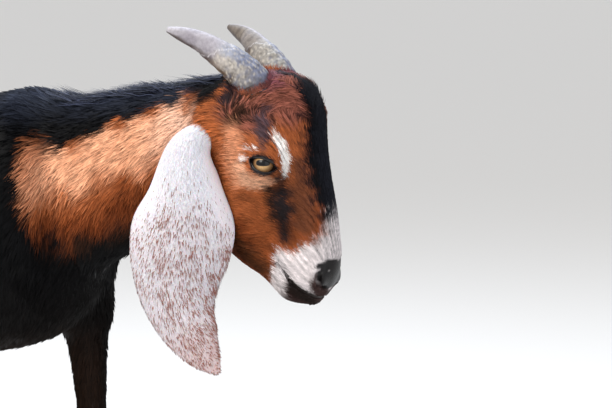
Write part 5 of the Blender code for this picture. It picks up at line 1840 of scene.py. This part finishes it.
def add_horn(hand, material, hair):
    """One horn with waves of growth, fine cracks and a worn step, and the hair about its foot."""
    rings, heading, marks = horn_surface(hand)
    add_fringe(hand, rings, heading, hair)
    corners, triangles = closed(rings)
    poles = ((0, 1), (0, 0), (0, 0), (0, 0))
    marks = [
        np.append(np.broadcast_to(mark, rings.shape[:2]).ravel(), ends)
        for mark, ends in zip(marks, poles)
    ]
    colours = horn_colours(hand, corners, *marks)
    piece = mesh_piece("horn_sheath_" + hand, corners, triangles, material, colours)
    finished(piece, "horn_grey", "horn_" + hand)


def add_eye(hand, cornea):
    """One eye: a ball with a low dome before the iris, its fibres and its level pupil."""
    side = side_of(hand)
    outward, long_way, up = eye_axes(side)
    tilt = (0.01 + (math.pi - 0.2) * np.linspace(0, 1, EYE_RINGS) ** 1.6)[:, None]
    angle = np.linspace(0, 2 * math.pi, EYE_SIDES, endpoint=False)[None, :]
    radius = EYE_RADIUS + CORNEA_HEIGHT * np.exp(-((tilt / CORNEA_ANGLE) ** 2))
    around = np.cos(angle)[..., None] * long_way + np.sin(angle)[..., None] * up
    way = np.cos(tilt)[..., None] * outward + np.sin(tilt)[..., None] * around
    rings = out_of_head_axes(mirrored(EYE_CENTRE, side) + radius[..., None] * way)
    corners, triangles = closed(rings)
    looks = outward @ HEAD_AXES
    level = unit(np.cross(UP, looks))
    rise = np.cross(looks, level)
    away = unit(corners - out_of_head_axes(mirrored(EYE_CENTRE, side)))
    a = np.where(away @ looks < 0, FAR, EYE_RADIUS * (away @ level))
    b = EYE_RADIUS * (away @ rise) - IRIS_LIFT
    r = np.hypot(a, b)
    turn = np.arctan2(b, a)
    fibre = 0.5 + 0.5 * np.sin(47 * turn + 3 * np.sin(7 * turn)) * np.sin(29 * turn + r)
    pupil = np.abs(a / PUPIL[0]) ** 3 + np.abs(b / PUPIL[1]) ** 3
    colours = painted(
        EYE_WHITE,
        (IRIS_OUTER, ramp(r, IRIS_RADIUS + 0.3, IRIS_RADIUS - 0.5)),
        (IRIS_INNER, ramp(r, *IRIS_BRIGHT) * (0.6 + 0.4 * fibre)),
        (LIMBUS, 0.9 * np.exp(-((r - IRIS_RADIUS) / 0.8) ** 2)),
        (PUPIL_BLACK, ramp(pupil, 1.5, 0.9)),
    )
    piece = mesh_piece("eyeball_" + hand, corners, triangles, cornea, colours)
    finished(piece, "eye_amber", "eye_" + hand)


def rim_line(side, upper, count=48):
    """A line of places along the free edge of one lid, and the way out of the eye at each."""
    outward, long_way, up = eye_axes(side)
    u = EYE_HALF_LENGTH * np.sin(np.linspace(-math.pi / 2, math.pi / 2, count))
    height = UPPER_LID_HEIGHT if upper else -LOWER_LID_HEIGHT
    v = height * (1 - np.abs(u / EYE_HALF_LENGTH) ** LID_CURVE)
    reach = EYE_RADIUS + 0.9
    w = np.sqrt(np.maximum(reach ** 2 - u ** 2 - v ** 2, 16.0))
    away = u[:, None] * long_way + v[:, None] * up + w[:, None] * outward
    line = out_of_head_axes(mirrored(EYE_CENTRE, side) + away)
    return line, unit(away) @ HEAD_AXES, up @ HEAD_AXES


def add_lids(hand, rim, hair):
    """The wet black rims of the lids and the lashes of the upper one."""
    side = side_of(hand)
    turn = np.linspace(0, 2 * math.pi, RIM_SIDES, endpoint=False)[None, :, None]
    for lid, radius in RIM_RADIUS.items():
        line, outs, _ = rim_line(side, lid == "upper")
        across = unit(np.cross(headings_of(line), outs))
        swell = np.sin(np.linspace(0, math.pi, len(line))) ** 0.5
        thick = radius * (0.35 + 0.65 * swell)[:, None, None]
        around = np.cos(turn) * across[:, None] + np.sin(turn) * outs[:, None]
        corners, triangles = closed(line[:, None] + thick * around)
        finished(mesh_piece(f"lid_rim_{lid}_{hand}", corners, triangles, rim), "coat_black")
    line, outs, up = rim_line(side, True, LASHES + 8)
    line, outs = line[4:-4], outs[4:-4]
    draw = np.random.default_rng(SEED + 9)
    sideways = headings_of(line) * draw.uniform(-0.25, 0.25, len(line))[:, None]
    ways = unit(outs + 0.25 * up + sideways)
    reach = draw.uniform(*LASH_LENGTH, len(line))[:, None]
    middles = line + ways * reach * 0.5
    tips = line + ways * reach - up * 0.28 * reach
    normals = unit(np.cross(ways, headings_of(line)))
    shades = np.tile(hexed(PUPIL_BLACK), (len(line), 1))
    places = np.stack([np.linspace(0.1, 0.9, len(line)), np.full(len(line), 0.5)], axis=1)
    wide = np.full(len(line), LASH_WIDTH)
    piece = tufts("lashes_" + hand, line, normals, ways, middles, tips, wide, shades, places, hair)
    finished(piece, "coat_black")


def claw_rings(limb, hand, way):
    """The rings of a claw from its sole up to the slanting coronet.

    The sole's outline narrows on its way up, with low level ridges, and draws in at both ends.
    """
    turned = np.array(CLAW_OUTLINE + CLAW_OUTLINE[:1])
    outline, _ = sampled(flowing(np.insert(turned, 2, 0.0, axis=1), 0.02), 65)
    forward, outward = outline[:-1, 0], outline[:-1, 1]
    up = (np.linspace(0, 1, CLAW_LEVELS) ** 1.3)[:, None]
    heel = HEEL_X[limb] + STEP[limb, hand]
    coronet = coronet_middle(limb, hand)
    low_x = heel + CLAW_LENGTH * forward
    high_x = heel + 2 + CLAW_TOP_LENGTH * forward
    x = low_x + (high_x - low_x) * up
    width = CLAW_WIDTH + (CLAW_TOP_WIDTH - CLAW_WIDTH) * up
    y = FOOT_Y + way * (CLEFT / 2 + width * outward)
    z = up * (coronet[2] + CORONET_SLOPE * (high_x - coronet[0]))
    rings = np.stack([x, y, np.broadcast_to(z, x.shape)], axis=2)
    middle = rings.mean(axis=1, keepdims=True)
    ridge = 0.012 * np.sin(up * 26) * ramp(up, 0.1, 0.2)
    shrink = 1 + ridge - 0.05 * ramp(up, 0.03, 0.0) - 0.06 * ramp(up, 0.93, 1.0)
    flat = (rings - middle) * np.stack([shrink, shrink, np.ones_like(shrink)], axis=2)
    return mirrored(middle + flat, side_of(hand))


def dewclaw_rings(limb, hand, way):
    """The rings of a dewclaw, a blunt cone behind the fetlock."""
    x, z = DEWCLAW_ROOT[limb]
    root = np.array([x + STEP[limb, hand], FOOT_Y + way * DEWCLAW_SPREAD, z])
    reach = np.array(DEWCLAW_REACH) * (1, way, 1)
    heading = unit(reach)
    across = unit(SIDEWAYS - heading * heading[1])
    up = np.cross(heading, across)
    angles = np.linspace(0, 2 * math.pi, 28, endpoint=False)[:, None]
    share = np.linspace(0, 1, 16)
    size = np.interp(share, (0, 0.45, 0.85, 0.96, 1), (1, 0.95, 0.62, 0.4, 0.15))
    around = np.cos(angles) * across + np.sin(angles) * up
    rings = root + reach * share[:, None, None] + around * (DEWCLAW_RADIUS * size)[:, None, None]
    return mirrored(rings, side_of(hand))


def claw_colours(corners):
    """Dark hoof horn, a little paler in level bands and greyer at the sole."""
    band = 0.5 + 0.5 * np.sin(corners[:, 2] * 1.1 + ripple(corners, 20, 41))
    sole = ramp(corners[:, 2], 4, 0)
    return painted(CLAW_DARK, (CLAW_BAND, 0.35 * band), (CLAW_SOLE, 0.6 * sole))


def add_claws(material):
    """The claws and dewclaws of all four feet."""
    for limb in LIMBS:
        for hand in HANDS:
            for place, way in (("inner", -1.0), ("outer", 1.0)):
                name = f"{limb}_{hand}_{place}"
                claw = claw_rings(limb, hand, way)
                dewclaw = dewclaw_rings(limb, hand, way)
                for kind, node, rings in (("hoof_", "claw_", claw), ("dewhoof_", "dewclaw_", dewclaw)):
                    corners, triangles = closed(rings)
                    colours = claw_colours(corners)
                    piece = mesh_piece(kind + name, corners, triangles, material, colours)
                    finished(piece, "claw_keratin", node + name)


# The grain of each surface in millimetres.
HAIR_GRAIN = 0.6667
SKIN_GRAIN = 1.111
EAR_GRAIN = 1.4286
HORN_GRAIN = 3.03
EYE_GRAIN = 0.4
CLAW_GRAIN = 1.6667


def coloured(material, tree, shader, variation, grain, bump=None):
    """A material that shows the colours carried by its piece, varied by a noise of a fine grain.

    With a strength and a height in metres given, the same grain is also raised from the surface.
    """
    shade = add_node(tree, "ShaderNodeAttribute", attribute_name="coat_colour")
    where = add_node(tree, "ShaderNodeTexCoord")
    noise = add_node(
        tree, "ShaderNodeTexNoise",
        {"Vector": where.outputs["Object"], "Scale": 1 / (grain * UNIT), "Detail": 4.0})
    spread = add_node(
        tree, "ShaderNodeMapRange",
        {"Value": noise.outputs[0], "To Min": 1 - variation, "To Max": 1 + variation})
    varied = add_node(
        tree, "ShaderNodeVectorMath", {0: shade.outputs["Color"], 1: spread.outputs[0]},
        operation="MULTIPLY")
    tree.links.new(varied.outputs[0], shader.inputs["Base Color"])
    if bump:
        raised = add_node(
            tree, "ShaderNodeBump",
            {"Height": noise.outputs[0], "Strength": bump[0], "Distance": bump[1]})
        tree.links.new(raised.outputs[0], shader.inputs["Normal"])
    return material


def goat_hair():
    """Short straight goat hair: each tuft keeps its own shade, with a faint sheen along the coat."""
    made = shader_of(
        "goat_hair", Roughness=0.48, Specular_IOR_Level=0.08, Sheen_Weight=0.02, Sheen_Roughness=0.4)
    return coloured(*made, 0.08, HAIR_GRAIN)


def goat_skin():
    """Skin under short hair: dull and finely grained, and smooth and wet on nose, lips and lids."""
    material, tree, shader = shader_of("goat_skin", Specular_IOR_Level=0.25)
    wet = add_node(tree, "ShaderNodeAttribute", attribute_name="wet")
    gloss = add_node(
        tree, "ShaderNodeMapRange", {"Value": wet.outputs["Fac"], "To Min": 0.75, "To Max": 0.38})
    tree.links.new(gloss.outputs[0], shader.inputs["Roughness"])
    return coloured(material, tree, shader, 0.25, SKIN_GRAIN, (0.5, 0.0006))


def ear_leather():
    """The thin skin of an ear: light comes a little way through it."""
    made = shader_of(
        "ear_skin", Roughness=0.6, Specular_IOR_Level=0.3, Subsurface_Weight=0.25,
        Subsurface_Scale=0.003)
    return coloured(*made, 0.12, EAR_GRAIN, (0.3, 0.0005))


def horn_keratin():
    """Weathered horn: dull, and mottled and roughened by a coarse grain."""
    made = shader_of("horn_keratin", Roughness=0.5, Specular_IOR_Level=0.45)
    return coloured(*made, 0.45, HORN_GRAIN, (0.6, 0.0008))


def wet_cornea():
    """An eye under its wet cornea: a sharp highlight over a softly lit amber iris."""
    made = shader_of(
        "cornea", Roughness=0.4, Specular_IOR_Level=0.1, Coat_Weight=0.7, Coat_Roughness=0.04,
        Coat_IOR=1.38)
    return coloured(*made, 0.12, EYE_GRAIN)


def wet_rim():
    """The bare black edge of a lid, kept wet, so that it has a soft shine."""
    material, _, _ = shader_of(
        "lid_rim", Base_Color=rgba(RIM_BLACK), Roughness=0.28, Specular_IOR_Level=0.5)
    return material


def claw_horn():
    """Dull dark hoof horn with a fine grain."""
    made = shader_of("claw_keratin", Roughness=0.55, Specular_IOR_Level=0.4)
    return coloured(*made, 0.25, CLAW_GRAIN, (0.4, 0.0005))


# The camera of the photo: its bearing and height in degrees, distance and target in metres.
CAMERA_AROUND = 28.0
CAMERA_ABOVE = 6.0
CAMERA_DISTANCE = 2.2
CAMERA_LENS = 129.0
SENSOR_WIDTH = 36.0
CAMERA_TARGET = np.array([0.5016, 0.0, 0.556])
FLOOR_RADIUS = 100.0
FLOOR_COLOUR = "#e9e7e3"
# Lights: name, place and target in metres, size, power in watts and colour.
LIGHTS = [
    ("key", (-0.6, -2.4, 2.6), (0.2, 0, 0.5), 1.6, 70.0, (1.0, 0.96, 0.9)),
    ("fill", (2.8, -1.6, 1.2), (0.3, 0, 0.5), 2.0, 12.0, (0.95, 0.97, 1.0)),
    ("sky", (-0.4, 1.2, 2.8), (0.1, 0, 0.5), 2.2, 60.0, (0.78, 0.87, 1.0)),
]
WORLD_COLOUR = "#f4f5f8"
WORLD_STRENGTH = 0.85


def aimed(thing, place, target):
    """A camera or light set at a place, with its -Z axis towards a target and its Y axis up."""
    thing.location = place
    thing.rotation_euler = (Vector(target) - Vector(place)).to_track_quat("-Z", "Y").to_euler()
    bpy.context.scene.collection.objects.link(thing)


def add_camera():
    """The camera at the photo's viewing angle."""
    around, above = math.radians(CAMERA_AROUND), math.radians(CAMERA_ABOVE)
    way = np.array([
        math.sin(around) * math.cos(above), -math.cos(around) * math.cos(above), math.sin(above)])
    data = bpy.data.cameras.new("photo_camera")
    data.lens = CAMERA_LENS
    data.sensor_width = SENSOR_WIDTH
    data.clip_end = 1000.0
    camera = bpy.data.objects.new("photo_camera", data)
    aimed(camera, CAMERA_TARGET + CAMERA_DISTANCE * way, CAMERA_TARGET)
    bpy.context.scene.camera = camera


def add_stage():
    """The plain pale floor, the soft lights and the pale world."""
    angles = np.linspace(0, 2 * math.pi, 128, endpoint=False)
    rim = np.stack([np.cos(angles), np.sin(angles), 0 * angles], axis=1) * FLOOR_RADIUS
    mesh = bpy.data.meshes.new("floor")
    mesh.from_pydata(rim.tolist(), [], [tuple(range(len(rim)))])
    material, _, _ = shader_of("floor", Base_Color=rgba(FLOOR_COLOUR), Roughness=0.8)
    mesh.materials.append(material)
    floor = bpy.data.objects.new("floor", mesh)
    bpy.context.scene.collection.objects.link(floor)
    for name, place, target, size, power, colour in LIGHTS:
        data = bpy.data.lights.new(name, "AREA")
        data.size = size
        data.energy = power
        data.color = colour
        aimed(bpy.data.objects.new(name, data), place, target)
    world = bpy.data.worlds.new("studio")
    world.use_nodes = True
    ground = world.node_tree.nodes["Background"]
    ground.inputs["Color"].default_value = rgba(WORLD_COLOUR)
    ground.inputs["Strength"].default_value = WORLD_STRENGTH
    bpy.context.scene.world = world
    bpy.context.scene.view_settings.view_transform = "Standard"


def add_goat():
    """The whole animal: skin, coat, ears, horns, eyes and claws."""
    hair = goat_hair()
    leather = ear_leather()
    horn = horn_keratin()
    cornea = wet_cornea()
    rim = wet_rim()
    knots, faces, shown = skin_net()
    add_skin(knots, faces, goat_skin())
    add_coat(knots, faces[shown], hair)
    add_crests(hair)
    for hand in HANDS:
        add_ear(hand, leather, hair)
        add_horn(hand, horn, hair)
        add_eye(hand, cornea)
        add_lids(hand, rim, hair)
    add_claws(claw_horn())


add_goat()
add_camera()
add_stage()
